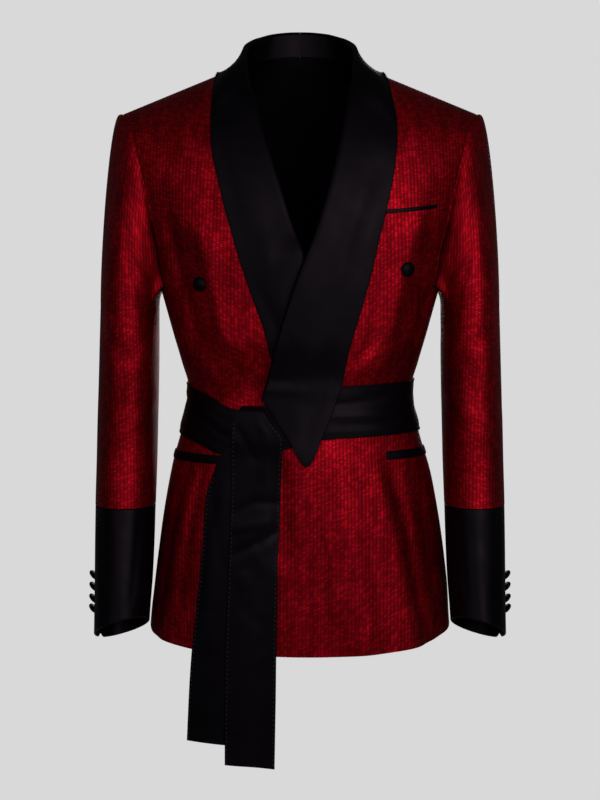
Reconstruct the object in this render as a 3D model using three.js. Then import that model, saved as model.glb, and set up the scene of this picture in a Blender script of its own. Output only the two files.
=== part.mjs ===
// Wrap tuxedo jacket, worn form with no wearer. Millimetres, +Z up, front towards -Y, wearer's left at +X.
// The origin is the middle of the neck base at shoulder level.
import * as THREE from 'three';

// Cloth, layering and seams.
const CLOTH = 2.0;
const SATIN = 1.6;
const SEAM = 0.4;
const SEAT = 0.4;
const LAPEL_OUT = 3.8;
const LAPEL_OVER_BELT = 8.4;
const BELT_OUT = 3.6;
const UNDERLAP_SINK = 9.2;
const UNDERLAP_SINK_SKIRT = 4.6;

// Body form.
const ROUND = 2.4;
const CHEST_ROUND = 3.5;
const YOKE_ROUND = 5;
const ARM_Z = -262;
const SIDE_SEAM = 68;
const UNDERARM_DIP = 9;
const NECK_X = 75;
const NECK_Y = 80;
const NECK_SIDE_Z = 6;
const NECK_BACK_Z = 24;
const SHOULDER_SLOPE = 0.408;
const SHOULDER_X = 218;

// Horizontal sections of the body: half width, depth in front and depth behind.
const BODY = table(['z', 'half', 'front', 'back'], [
  [30, 262, 80, 80],
  [0, 258, 86, 93],
  [-50, 247, 96, 101],
  [-94, 235, 105, 108],
  [-144, 215, 113, 113],
  [-200, 193, 118, 115],
  [-262, 173.5, 119, 115],
  [-325, 156, 117, 112],
  [-356, 147, 111, 106],
  [-394, 137.5, 104, 98],
  [-444, 148, 107, 101],
  [-481, 158.5, 111, 106],
  [-519, 166.5, 114, 110],
  [-569, 174.8, 117, 114],
  [-631, 182.5, 119, 117],
  [-690, 188, 121, 120],
  [-740, 191, 122, 121],
]);

// Soft standing folds of the worn cloth: centre line in degrees from the front, width and depth.
const FOLDS = table(['z1', 'a1', 'z2', 'a2', 'wide', 'deep'], [
  [-452, -4, -700, -9, 7, -4],
  [-450, 30, -690, 44, 13, 5],
  [-470, 58, -690, 64, 9, -4],
  [-470, -52, -690, -62, 13, 4],
  [-455, 146, -690, 150, 16, -4],
  [-455, -146, -690, -152, 16, -4],
  [-455, 118, -690, 120, 14, 4],
  [-455, -120, -690, -122, 14, 4],
  [-330, 38, -378, 20, 9, 3],
  [-320, -60, -384, -48, 10, 3.5],
]);

// Armhole edge on the body, seen from the front.
const ARMHOLE = table(['z', 'x'], [
  [-52, SHOULDER_X],
  [-72, 204],
  [-94, 197],
  [-144, 184.5],
  [-181, 177.5],
  [-219, 172],
  [-245, 168.5],
  [ARM_Z, 164],
]);

// Free inner edge of each front from the neck point to the hem.
const EDGE_LEFT = table(['z', 'x'], [
  [6, 75],
  [-5, 70],
  [-20, 63.5],
  [-45, 55.6],
  [-82, 48.1],
  [-124, 38.4],
  [-159, 28.9],
  [-194, 18.3],
  [-224, 6.6],
  [-259, -6.8],
  [-306, -22.3],
  [-366, -38],
  [-399, -46],
  [-430, -50],
  [-720, -52],
]);
const EDGE_RIGHT = table(['z', 'x'], [
  [6, 75],
  [-5, 70],
  [-20, 62],
  [-39, 53.3],
  [-76, 43.4],
  [-118, 30.1],
  [-148, 20.6],
  [-189, 7.7],
  [-221, -5.3],
  [-277, -20.7],
  [-336, -32.6],
  [-399, -43],
  [-430, -48],
  [-720, -50],
]);

// Shawl, from the breakpoint up to the centre back: fold line and outer edge, wearer's left.
// A depth of 999 means that the point lies on the front of the body, and -999 on its back.
// The swell is how far the collar rounds out between fold and edge, negative where it hollows in.
const SHAWL_LEFT = table(['rx', 'ry', 'rz', 'ex', 'ey', 'ez', 'swell'], [
  [-45.5, 999, -396, -40, 999, -403, 0],
  [-42.5, 999, -384, -14, 999, -444, 0],
  [-38, 999, -366, 7.8, 999, -477, 0],
  [-30.5, 999, -338, 26.9, 999, -441, 0],
  [-22.3, 999, -306, 47.4, 999, -384, 0],
  [-6.8, 999, -259, 58.8, 999, -336, 0],
  [6.6, 999, -224, 72.9, 999, -289, 0],
  [18.3, 999, -194, 84.6, 999, -247, 0],
  [28.9, 999, -159, 94, 999, -206, 0],
  [38.4, 999, -124, 103.5, 999, -168, 0],
  [48.1, 999, -82, 112, 999, -127, 0],
  [55.6, 999, -45, 116.3, 999, -87, 0],
  [61, -50, -20, 115.6, 999, -60, 5],
  [64.5, -24, 6, 110.5, 999, -31, 3],
  [65.4, -9, 16.5, 107.5, 999, -15, -2],
  [65.5, 6, 25, 105, -8, -1.5, -6],
  [64, 21.5, 32.6, 101, -999, -5, -6.5],
  [60, 36, 39, 98, -999, -7, -6],
  [53.5, 49.5, 44.6, 91, -999, -13, -5],
  [44, 61, 49, 80, -999, -20, -4],
  [34.5, 69.5, 52.4, 64, -999, -20.5, -3.5],
  [23, 75, 54.5, 46, -999, -18, -3],
  [11.7, 78.7, 55.7, 23.5, -999, -15.7, -3],
  [0.2, 80, 56, 0.2, -999, -14, -3],
]);
const SHAWL_RIGHT = table(['rx', 'ry', 'rz', 'ex', 'ey', 'ez', 'swell'], [
  [-41, 999, -386, 27, 999, -381, 0],
  [-36.6, 999, -360, 33.5, 999, -357, 0],
  [-32.6, 999, -336, 38, 999, -338, 0],
  [-26.8, 999, -306, 45.6, 999, -306, 0],
  [-17, 999, -263, 59.7, 999, -265, 0],
  [-5.3, 999, -221, 71.5, 999, -230, 0],
  [7.7, 999, -189, 82.1, 999, -194, 0],
  [20.6, 999, -148, 90.4, 999, -165, 0],
  [30.1, 999, -118, 97.7, 999, -135, 0],
  [43.4, 999, -76, 105.3, 999, -100, 0],
  [53.3, 999, -39, 107.2, 999, -63, 0],
  [60, -50, -20, 106.2, 999, -42, 5],
  [64.5, -24, 6, 104, 999, -22, 3],
  [65.4, -9, 16.5, 103.5, 999, -11, -2],
  [65.5, 6, 25, 103, -8, -0.8, -6],
  [64, 21.5, 32.6, 101, -999, -5, -6.5],
  [60, 36, 39, 98, -999, -7, -6],
  [53.5, 49.5, 44.6, 91, -999, -13, -5],
  [44, 61, 49, 80, -999, -20, -4],
  [34.5, 69.5, 52.4, 64, -999, -20.5, -3.5],
  [23, 75, 54.5, 46, -999, -18, -3],
  [11.7, 78.7, 55.7, 23.5, -999, -15.7, -3],
  [0.2, 80, 56, 0.2, -999, -14, -3],
]);
// Section of the fold, round the free edge of the front or the top of the stand: distance across
// the lapel from the fold and height over the cloth, of the outer and of the inner face.
const FOLD_HOOK = table(['across', 'high', 'acrossIn', 'highIn'], [
  [0.3, -2.2, 1.9, -2.0],
  [0, 0.8, 1.7, 0.9],
  [1.5, 3.3, 2.7, 1.9],
  [5, 4.6, 5.2, 3.0],
]);
const FOLD_SHARES = [0.14, 0.3, 0.48, 0.66, 0.84, 1];
const FOLD_EDGE = 3;
const COLLAR_EASE = 1.8;
const LINING_IN = 3.6;
const LINING_THICK = 1;
// Lower edge of the collar stand, from its front end to the centre back.
const STAND = table(['x', 'y', 'z'], [
  [68.4, -29, -3.5],
  [71.6, -13, 3.4],
  [73.2, 4, 7.8],
  [71, 19, 9.4],
  [66, 31, 11.4],
  [57, 48.4, 14.8],
  [50, 58, 17.4],
  [41.5, 65.5, 20.2],
  [28, 73, 23],
  [14, 77.8, 24.7],
  [0, 79.2, 25],
]);
const STAND_FIRST = 13;

// Sleeve sections, outer and inner sides in the front view, middle and half depth in the side view.
const SLEEVE = table(['z', 'outer', 'inner', 'mid', 'deep'], [
  [-290, 247, 175.5, 0, 71],
  [-344, 249, 175.8, 0, 68],
  [-388, 250.5, 176.5, -1, 65],
  [-431, 252, 177.5, -4, 62],
  [-482, 253, 178.5, -10, 59],
  [-531, 254, 180, -18, 57],
  [-575, 254.2, 181, -27, 55],
  [-618, 254, 182.5, -37, 53.5],
  [-660, 253.8, 185.3, -47, 52],
  [-715, 254, 188.3, -60, 50],
]);
const SLEEVE_ROUND = 2.2;
const HEAD_PUFF = 2;
const HEAD_EASE = 0.9;
const CUFF_SEAM_Z = -533;
const CUFF_END_Z = -683;
const CUFF_TILT_OUT = 0.28;
const CUFF_TILT_BACK = 0.33;
// Sleeve seams, degrees round the tube from the outer side through the front.
const INNER_SEAM = 150;
const BACK_SEAM_TOP = 282;
const BACK_SEAM_CUFF = 330;
const NOTCH_HIGH = 4;
const NOTCH_WIDE = 10;

// Belt band round the waist: degrees from the front, top and bottom.
const BELT = table(['a', 'top', 'low'], [
  [-25, -411, -464],
  [-36, -406, -463],
  [-48, -395, -455],
  [-62, -388, -449],
  [-90, -383, -444],
  [-130, -382, -443],
  [-180, -380, -442],
  [-230, -379, -441],
  [-270, -378, -441],
  [-300, -378, -441],
  [-325, -379, -442],
  [-340, -380, -443],
  [-352, -382, -445],
  [-364, -398, -456],
  [-375, -405, -463],
]);

// Hanging tails: edges in the front view and height above the cloth of the fronts.
const TAIL_FRONT = table(['z', 'x1', 'x2', 'off'], [
  [-404, -66, -44, 8.8],
  [-406, -66.5, -43, 16.2],
  [-412, -69.5, -39.5, 20.6],
  [-425, -74, -32.5, 21.8],
  [-445, -76, -19.5, 20.6],
  [-470, -77.8, -21, 15],
  [-500, -79, -22.5, 12.5],
  [-545, -81, -24.2, 10.4],
  [-600, -83.7, -26.5, 9.6],
  [-655, -86, -27.6, 9.2],
  [-700, -87.6, -28.3, 9],
  [-745, -88.4, -28.8, 8.8],
  [-790, -89, -29.6, 8.6],
  [-838, -89.2, -30.5, 8.6],
]);
const TAIL_FRONT_SLANT = -3.6;
const TAIL_REAR = table(['z', 'x1', 'x2', 'off'], [
  [-455, -86, -50, 6.5],
  [-470, -96, -44, 6.1],
  [-488, -103, -42, 5.3],
  [-518, -111.5, -46, 5],
  [-555, -114, -51, 5],
  [-615, -119.4, -58, 5],
  [-658, -124.4, -63, 5],
  [-700, -129, -69, 5],
  [-740, -132, -72, 5],
  [-813, -135.7, -76, 5],
]);
const TAIL_REAR_SLANT = -2;
const TAIL_SATIN = 2.2;

// Knot of the belt, a packed lump of folded satin.
const KNOT = { x: -57, z: -431, off: 10.75, halfWide: 21, halfHigh: 22, halfDeep: 7.6 };

// Pockets.
const WELT = { x1: 98, z1: -173.2, x2: 164.5, z2: -166, high: 5, out: 1.7, thick: 1.2 };
const JET_HIGH = 10.6;
const JET_OUT = 2;
const JET_THICK = 1.4;
const JETS = table(['name', 'side', 'x1', 'a2', 'z'], [
  ['hip_jet_left', 1, 105, 85, -465.5],
  ['hip_jet_right', -1, 95, 85, -470],
]);

// Covered buttons.
const CHEST_BUTTON = { across: 17.6, thick: 6.6 };
const CHEST_BUTTONS = table(['name', 'x', 'z'], [
  ['chest_button_left', 125.7, -240.7],
  ['chest_button_right', -118.5, -258.5],
]);
const CUFF_BUTTON = { across: 14, thick: 4, lean: 40, stand: 7.2, shank: 5.85, neck: 1.6 };
const CUFF_BUTTON_Z = [-615.5, -628, -641, -652];

const RED = { color: 0x9c1020, roughness: 0.45, metalness: 0.35 };
const BLACK = { color: 0x0b0a0d, roughness: 0.38, metalness: 0 };
const LINING = { color: 0x050506, roughness: 0.7, metalness: 0 };

// Rows of an upper panel, from the armhole level to the shoulder, and of a lower panel down to the hem.
const RISE = [0, 0.15, 0.3, 0.44, 0.57, 0.69, 0.79, 0.87, 0.93, 0.975, 1];
const FALL = [0, 0.1, 0.18, 0.24, 0.285, 0.33, 0.39, 0.46, 0.55, 0.66, 0.78, 0.9, 1];

function table(names, rows) {
  return rows.map((row) => Object.fromEntries(names.map((name, k) => [name, row[k]])));
}

function rad(degrees) {
  return degrees * Math.PI / 180;
}

function mix(a, b, t) {
  return a + (b - a) * t;
}

function smooth(t) {
  const c = Math.min(1, Math.max(0, t));
  return c * c * (3 - 2 * c);
}

// Monotone cubic through one column of a table.
function curve(rows, key, name) {
  const sorted = [...rows].sort((p, q) => p[key] - q[key]);
  const xs = sorted.map((row) => row[key]);
  const ys = sorted.map((row) => row[name]);
  const last = xs.length - 1;
  const h = [];
  const d = [];
  for (let i = 0; i < last; i += 1) {
    h.push(xs[i + 1] - xs[i]);
    d.push((ys[i + 1] - ys[i]) / h[i]);
  }
  const m = [d[0]];
  for (let i = 1; i < last; i += 1) {
    const flat = d[i - 1] * d[i] <= 0;
    const w1 = 2 * h[i] + h[i - 1];
    const w2 = h[i] + 2 * h[i - 1];
    m.push(flat ? 0 : (w1 + w2) / (w1 / d[i - 1] + w2 / d[i]));
  }
  m.push(d[last - 1]);
  return (x) => {
    if (x <= xs[0]) return ys[0];
    if (x >= xs[last]) return ys[last];
    let i = 0;
    while (x > xs[i + 1]) i += 1;
    const t = (x - xs[i]) / h[i];
    const s = 1 - t;
    const ends = ys[i] * (1 + 2 * t) * s * s + ys[i + 1] * t * t * (3 - 2 * t);
    return ends + h[i] * (m[i] * t * s * s + m[i + 1] * t * t * (t - 1));
  };
}

const half = curve(BODY, 'z', 'half');
const frontDeep = curve(BODY, 'z', 'front');
const backDeep = curve(BODY, 'z', 'back');
const armholeX = curve(ARMHOLE, 'z', 'x');
const edgeLeft = curve(EDGE_LEFT, 'z', 'x');
const edgeRight = curve(EDGE_RIGHT, 'z', 'x');

function shoulderZ(x) {
  return NECK_SIDE_Z - SHOULDER_SLOPE * (Math.abs(x) - NECK_X);
}

// Neck seam behind: height and depth at a distance from the centre.
function neckTop(x) {
  const s = Math.min(1, Math.abs(x) / NECK_X);
  return { z: mix(NECK_BACK_Z, NECK_SIDE_Z, s ** 2.2), y: NECK_Y * Math.sqrt(1 - s * s) };
}

function foldAt(a, z) {
  let sum = 0;
  for (const f of FOLDS) {
    const t = (z - f.z1) / (f.z2 - f.z1);
    const span = smooth(t * 3) * (f.z2 > -400 ? smooth((1 - t) * 3) : 1);
    const away = (a - mix(f.a1, f.a2, Math.max(0, t))) / f.wide;
    sum += f.deep * span * Math.exp(-away * away);
  }
  return sum;
}

// Angle from the front, in degrees, of a point of the front at x.
function angleOf(x, z) {
  const s = Math.min(1, Math.abs(x) / half(z));
  return Math.sign(x) * Math.asin(s ** (ROUND / 2)) * 180 / Math.PI;
}

function xOf(a, z) {
  const s = Math.sin(rad(a));
  return Math.sign(s) * half(z) * Math.abs(s) ** (2 / ROUND);
}

// Point of the body at an angle from the front, 180 at the back, without its folds.
function bodyPoint(a, z) {
  const c = Math.cos(rad(a));
  const x = xOf(a, z);
  const deep = Math.abs(c) ** (2 / ROUND);
  if (c >= 0) {
    const top = shoulderZ(x);
    const t = Math.min(1, Math.max(0, (z - ARM_Z) / (top - ARM_Z)));
    return new THREE.Vector3(x, -frontDeep(z) * deep * Math.sqrt(1 - t ** CHEST_ROUND), z);
  }
  const neck = neckTop(x);
  const overNeck = Math.abs(x) < NECK_X;
  const top = overNeck ? neck.z : shoulderZ(x);
  const yTop = overNeck ? neck.y : 0;
  const t = Math.min(1, Math.max(0, (z - ARM_Z) / (top - ARM_Z)));
  const soft = mix(1, 0.5, smooth(Math.abs(x) / NECK_X));
  const y = yTop + (backDeep(z) * deep - yTop) * (1 - t ** YOKE_ROUND) ** soft;
  return new THREE.Vector3(x, z > ARM_Z ? y : backDeep(z) * deep, z);
}

function outward(a, z) {
  const da = 0.4;
  const dz = 0.6;
  const across = bodyPoint(a + da, z).sub(bodyPoint(a - da, z));
  const up = bodyPoint(a, z + dz).sub(bodyPoint(a, z - dz));
  return across.cross(up).normalize();
}

// Body surface at an angle and height, moved out by a layer's height.
function layer(a, z, out) {
  return bodyPoint(a, z).addScaledVector(outward(a, z), out + foldAt(a, z));
}

function layerAtX(x, z, out) {
  return layer(angleOf(x, z), z, out);
}

function hemZ(a) {
  const c = Math.cos(rad(a));
  return c > 0 ? -684 - 22 * c : -684 - 8 * c;
}

// Closed wall from two grids of points, the outer face first; a tube closes round its columns.
function wall(outer, inner, tube = false) {
  const rows = outer.length;
  const cols = outer[0].length;
  const points = [];
  for (const grid of [outer, inner]) {
    for (const row of grid) {
      for (const p of row) points.push(p.x, p.y, p.z);
    }
  }
  const at = (side, r, c) => side * rows * cols + r * cols + (c % cols);
  const faces = [];
  const quad = (a, b, c, d) => faces.push(a, b, c, a, c, d);
  const spans = tube ? cols : cols - 1;
  for (let r = 0; r + 1 < rows; r += 1) {
    for (let c = 0; c < spans; c += 1) {
      quad(at(0, r, c), at(0, r, c + 1), at(0, r + 1, c + 1), at(0, r + 1, c));
      quad(at(1, r, c), at(1, r + 1, c), at(1, r + 1, c + 1), at(1, r, c + 1));
    }
  }
  for (let c = 0; c < spans; c += 1) {
    quad(at(1, 0, c), at(1, 0, c + 1), at(0, 0, c + 1), at(0, 0, c));
    quad(at(0, rows - 1, c), at(0, rows - 1, c + 1), at(1, rows - 1, c + 1), at(1, rows - 1, c));
  }
  if (!tube) {
    for (let r = 0; r + 1 < rows; r += 1) {
      quad(at(0, r, 0), at(0, r + 1, 0), at(1, r + 1, 0), at(1, r, 0));
      quad(at(1, r, cols - 1), at(1, r + 1, cols - 1), at(0, r + 1, cols - 1), at(0, r, cols - 1));
    }
  }
  return solid(points, faces);
}

// Indexed geometry with its faces turned out.
function solid(points, faces) {
  let volume = 0;
  const v = (i) => new THREE.Vector3(points[3 * i], points[3 * i + 1], points[3 * i + 2]);
  for (let i = 0; i < faces.length; i += 3) {
    volume += v(faces[i]).dot(v(faces[i + 1]).cross(v(faces[i + 2])));
  }
  if (volume < 0) {
    for (let i = 0; i < faces.length; i += 3) {
      [faces[i], faces[i + 1]] = [faces[i + 1], faces[i]];
    }
  }
  const geometry = new THREE.BufferGeometry();
  geometry.setAttribute('position', new THREE.Float32BufferAttribute(points, 3));
  geometry.setIndex(faces);
  geometry.computeVertexNormals();
  return geometry;
}

// Normals of a grid of points, by differences along its rows and columns.
function gridNormals(grid, tube, sign) {
  const cols = grid[0].length;
  return grid.map((row, r) => row.map((p, c) => {
    const next = tube ? (c + 1) % cols : Math.min(c + 1, cols - 1);
    const prev = tube ? (c + cols - 1) % cols : Math.max(c - 1, 0);
    const across = row[next].clone().sub(row[prev]);
    const down = grid[Math.min(r + 1, grid.length - 1)][c].clone().sub(grid[Math.max(r - 1, 0)][c]);
    return across.cross(down).normalize().multiplyScalar(sign);
  }));
}

// Height of the wearer's right front where the left front covers it.
function sinkAt(x, z) {
  const cover = smooth((x - edgeLeft(z) + 46) / 44);
  const deep = mix(UNDERLAP_SINK_SKIRT, UNDERLAP_SINK, smooth((z + 450) / 50));
  return z < -180 ? deep * cover * smooth((-180 - z) / 40) : 0;
}

// Grid of points over a panel of the front, as angle and height, from its free edge to its outer edge.
function frontAngles(side, edge) {
  const cols = 10;
  const rows = [];
  for (const t of [...RISE].reverse()) {
    const level = (x) => ARM_Z + t * (shoulderZ(x) - ARM_Z);
    let zIn = level(70);
    let zOut = level(190);
    for (let k = 0; k < 30; k += 1) {
      zIn = mix(zIn, level(edge(zIn)), 0.6);
      zOut = mix(zOut, level(armholeX(zOut)), 0.6);
    }
    const aIn = angleOf(edge(zIn), zIn);
    const aOut = t === 0 ? SIDE_SEAM : angleOf(armholeX(zOut), zOut);
    const row = [];
    for (let c = 0; c <= cols; c += 1) {
      const x = mix(xOf(aIn, zIn), xOf(aOut, zOut), columnShare(c / cols));
      const z = level(x);
      row.push([x, z]);
    }
    rows.push(row.map(([x, z]) => [side * angleOf(x, z), z]));
  }
  for (const share of FALL.slice(1)) {
    const row = [];
    for (let c = 0; c <= cols; c += 1) {
      let a = 0;
      let z = ARM_Z + share * (hemZ(0) - ARM_Z);
      for (let k = 0; k < 12; k += 1) {
        a = angleOf(mix(edge(z), xOf(SIDE_SEAM, z), columnShare(c / cols)), z);
        z = ARM_Z + share * (hemZ(a) - ARM_Z);
      }
      row.push([side * a, z]);
    }
    rows.push(row);
  }
  return rows;
}

function columnShare(s) {
  return mix(s, 1 - (1 - s) ** 2, 0.35);
}

function seamed(a, z, side, seams) {
  const gap = SEAM / 2 / half(z) * 180 / Math.PI;
  let b = Math.abs(a);
  for (const [seam, to] of seams) {
    if (Math.abs(b - seam) < 0.01) b = seam + to * gap;
  }
  return side * b;
}

function frontPanel(side) {
  const free = side > 0 ? edgeLeft : edgeRight;
  const edge = (z) => free(z) + FOLD_EDGE * smooth((z + 430) / 40) * smooth((10 - z) / 30);
  const angles = frontAngles(side, edge);
  const place = (thick) => angles.map((row) => row.map(([a, z], c) => {
    const sink = side < 0 ? sinkAt(xOf(a, z), z) : 0;
    const b = c === row.length - 1 && z <= ARM_Z + 0.1 ? a - side * SEAM / 2 / half(z) * 180 / Math.PI : a;
    const p = layer(b, z, -sink - thick);
    p.y = Math.min(p.y, -SEAM / 2);
    return p;
  }));
  return wall(place(0), place(CLOTH));
}

function sidePanel(side) {
  const cols = 4;
  const place = (thick) => FALL.map((share) => {
    const row = [];
    for (let c = 0; c <= cols; c += 1) {
      const a = mix(SIDE_SEAM, 180 - SIDE_SEAM, c / cols);
      const top = share === 0 ? -(UNDERARM_DIP + 1) * Math.sin(Math.PI * c / cols) : 0;
      const z = ARM_Z + top + share * (hemZ(a) - ARM_Z);
      row.push(layer(seamed(a, z, side, [[SIDE_SEAM, 1], [180 - SIDE_SEAM, -1]]), z, -thick));
    }
    return row;
  });
  return wall(place(0), place(CLOTH));
}

function backAngles(side) {
  const cols = 9;
  const centre = SEAM / 2;
  const rows = [];
  for (const t of [...RISE].reverse()) {
    const top = (x) => (Math.abs(x) < NECK_X ? neckTop(x).z : shoulderZ(x));
    const level = (x) => ARM_Z + t * (top(x) - ARM_Z);
    let zOut = level(190);
    for (let k = 0; k < 30; k += 1) zOut = mix(zOut, level(armholeX(zOut)), 0.6);
    const xOut = t === 0 ? xOf(SIDE_SEAM, ARM_Z) : armholeX(zOut);
    const row = [];
    for (let c = 0; c <= cols; c += 1) {
      const x = mix(centre, xOut, columnShare(c / cols));
      const z = level(x);
      row.push([side * (180 - angleOf(x, z)), z]);
    }
    rows.push(row);
  }
  for (const share of FALL.slice(1)) {
    const row = [];
    for (let c = 0; c <= cols; c += 1) {
      let a = 0;
      let z = ARM_Z + share * (hemZ(180) - ARM_Z);
      for (let k = 0; k < 12; k += 1) {
        a = 180 - angleOf(mix(centre, xOf(SIDE_SEAM, z), columnShare(c / cols)), z);
        z = ARM_Z + share * (hemZ(a) - ARM_Z);
      }
      row.push([side * a, z]);
    }
    rows.push(row);
  }
  return rows;
}

function backPanel(side) {
  const angles = backAngles(side);
  const place = (thick) => angles.map((row) => row.map(([a, z], c) => {
    const gap = side * SEAM / 2 / half(z) * 180 / Math.PI;
    const b = c === row.length - 1 && z <= ARM_Z + 0.1 ? a + gap : a;
    const p = layer(b, z, -thick);
    p.x = side * Math.max(SEAM / 2, side * p.x);
    p.y = Math.max(p.y, SEAM / 2);
    return p;
  }));
  return wall(place(0), place(CLOTH));
}

// Armhole loop of the wearer's left, by angle from the top through the front.
const LOOP_MID = -160;
const LOOP_HIGH = 111;
const LOOP_DEEP = 66;
const loopPoints = armholeLoop();

function armholeLoop() {
  const points = [];
  const steps = 40;
  for (let k = 0; k <= steps; k += 1) {
    const z = mix(ARMHOLE[0].z - 0.6, ARM_Z, k / steps);
    points.push(layer(angleOf(armholeX(z), z), z, 0));
    points.push(layer(180 - angleOf(armholeX(z), z), z, 0));
  }
  for (let k = 1; k < 12; k += 1) {
    const a = mix(SIDE_SEAM, 180 - SIDE_SEAM, k / 12);
    points.push(layer(a, ARM_Z - UNDERARM_DIP * Math.sin(Math.PI * k / 12), 0));
  }
  const angle = (p) => {
    const a = Math.atan2(-p.y / LOOP_DEEP, (p.z - LOOP_MID) / LOOP_HIGH) * 180 / Math.PI;
    return a < 0 ? a + 360 : a;
  };
  return points.map((p) => ({ a: angle(p), p })).sort((u, v) => u.a - v.a);
}

function loopAt(angle) {
  const a = ((angle % 360) + 360) % 360;
  const n = loopPoints.length;
  let i = loopPoints.findIndex((q) => q.a > a);
  if (i < 0) i = 0;
  const next = loopPoints[i];
  const prev = loopPoints[(i + n - 1) % n];
  const span = (next.a - prev.a + 360) % 360;
  const t = span === 0 ? 0 : ((a - prev.a + 360) % 360) / span;
  return prev.p.clone().lerp(next.p, t);
}

const sleeveOuter = curve(SLEEVE, 'z', 'outer');
const sleeveInner = curve(SLEEVE, 'z', 'inner');
const sleeveMid = curve(SLEEVE, 'z', 'mid');
const sleeveDeep = curve(SLEEVE, 'z', 'deep');
const TUBE_TOP = -290;

function tubePoint(angle, z) {
  const c = Math.cos(rad(angle));
  const s = Math.sin(rad(angle));
  const wide = (sleeveOuter(z) - sleeveInner(z)) / 2;
  const power = 2 / SLEEVE_ROUND;
  const x = (sleeveOuter(z) + sleeveInner(z)) / 2 + wide * Math.sign(c) * Math.abs(c) ** power;
  const y = sleeveMid(z) - sleeveDeep(z) * Math.sign(s) * Math.abs(s) ** power;
  return new THREE.Vector3(x, y, z);
}

// Sleeve surface: v from 0 to 1 over the head, to 2 at the cuff seam, to 3 at the cuff's edge.
function sleevePoint(angle, v) {
  if (v >= 1) {
    const end = tubePoint(angle, CUFF_END_Z);
    const tilt = CUFF_TILT_OUT * (end.x - 220) + CUFF_TILT_BACK * (end.y - sleeveMid(CUFF_END_Z));
    const t = Math.max(0, v - 2);
    const level = v <= 2 ? mix(TUBE_TOP, CUFF_SEAM_Z, v - 1) : mix(CUFF_SEAM_Z, CUFF_END_Z, t);
    return tubePoint(angle, level - tilt * t);
  }
  const from = loopAt(angle);
  from.x += SEAM + HEAD_EASE * Math.cos(rad(angle)) ** 2;
  const to = tubePoint(angle, TUBE_TOP);
  const far = from.distanceTo(to);
  const c = Math.cos(rad(angle));
  const start = new THREE.Vector3(Math.min(42, 0.35 * far), 0, 0);
  const stop = new THREE.Vector3(0, 0, -far);
  const s = 1 - v;
  const point = from.multiplyScalar((1 + 2 * v) * s * s);
  point.addScaledVector(to, v * v * (3 - 2 * v));
  point.addScaledVector(start, v * s * s);
  point.addScaledVector(stop, -v * v * s);
  const puff = HEAD_PUFF * (0.5 + 0.5 * c) * (1 - Math.exp(-v / 0.03)) * s * s;
  point.x += 1.5 * puff;
  point.z += 0.25 * puff;
  return point;
}

function sleeveLayer(angle, v, out) {
  const dv = v < 0.02 ? 0.01 : 0.004;
  const low = v < dv ? 0 : v - dv;
  const across = sleevePoint(angle + 1, v).sub(sleevePoint(angle - 1, v));
  const down = sleevePoint(angle, v + dv).sub(sleevePoint(angle, low));
  return sleevePoint(angle, v).addScaledVector(across.cross(down).normalize(), out);
}

function backSeam(v) {
  return mix(BACK_SEAM_TOP, BACK_SEAM_CUFF, Math.min(1, v / 2.2));
}

function mirrored(p, side) {
  return new THREE.Vector3(side * p.x, p.y, p.z);
}

function sleevePanel(side, from, to, cols, levels, shape = (angle, v) => v) {
  const gap = SEAM / 2 / 52 * 180 / Math.PI;
  const place = (out) => levels.map((v) => {
    const row = [];
    for (let c = 0; c <= cols; c += 1) {
      const a = mix(from(v) + gap, to(v) - gap, c / cols);
      row.push(mirrored(sleeveLayer(a, shape(a, v), out), side));
    }
    return row;
  });
  return wall(place(0), place(-CLOTH));
}

const SLEEVE_LEVELS = [0, 0.05, 0.13, 0.25, 0.4, 0.55, 0.7, 0.85, 1, 1.22, 1.45, 1.68, 1.9, 1.998];
const CUFF_LEVELS = [2.002, 2.25, 2.5, 2.75, 3];

// The cuff's lower corners rise beside the vent.
function notched(angle, v) {
  if (v < 3) return v;
  const ahead = Math.abs(((angle - BACK_SEAM_CUFF + 540) % 360) - 180);
  const away = rad(ahead) * sleeveDeep(CUFF_END_Z);
  const cuffLong = CUFF_SEAM_Z - CUFF_END_Z;
  return v - NOTCH_HIGH / cuffLong * (1 - smooth(away / NOTCH_WIDE));
}

// Outer edge of the collar at one row: over the shoulder it stands off along the body's normal.
function shawlEdge(row, x, onFront) {
  const z = row.ez;
  if (onFront) return new THREE.Vector3(x, layerAtX(x, z, LAPEL_OUT).y, z);
  if (row.ey === 999) return layerAtX(x, z, LAPEL_OUT);
  if (row.ey === -999) return layer(180 - angleOf(x, z), z, LAPEL_OUT + COLLAR_EASE);
  return new THREE.Vector3(x, row.ey, z);
}

// Shawl collar and lapel of one side.
function shawlRows(rows, side) {
  return rows.map((row) => {
    const onFront = row.ry === 999;
    const rx = side * row.rx;
    const ex = side * row.ex;
    const ry = onFront ? layerAtX(rx, row.rz, 0.8).y : row.ry;
    const edge = shawlEdge(row, ex, onFront);
    const k = onFront ? 0 : 1;
    return { rx, ry, rz: row.rz, ex: edge.x, ey: edge.y, ez: edge.z, k, swell: row.swell };
  });
}

function along(rows, u) {
  const i = Math.min(rows.length - 2, Math.floor(u));
  const t = u - i;
  const pick = (k) => rows[Math.min(rows.length - 1, Math.max(0, k))];
  const [p, q, r, s] = [pick(i - 1), pick(i), pick(i + 1), pick(i + 2)];
  const names = Object.keys(q);
  return Object.fromEntries(names.map((name) => {
    const a = 2 * q[name];
    const b = r[name] - p[name];
    const c = 2 * p[name] - 5 * q[name] + 4 * r[name] - s[name];
    const d = -p[name] + 3 * q[name] - 3 * r[name] + s[name];
    return [name, 0.5 * (a + b * t + c * t * t + d * t * t * t)];
  }));
}

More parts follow.
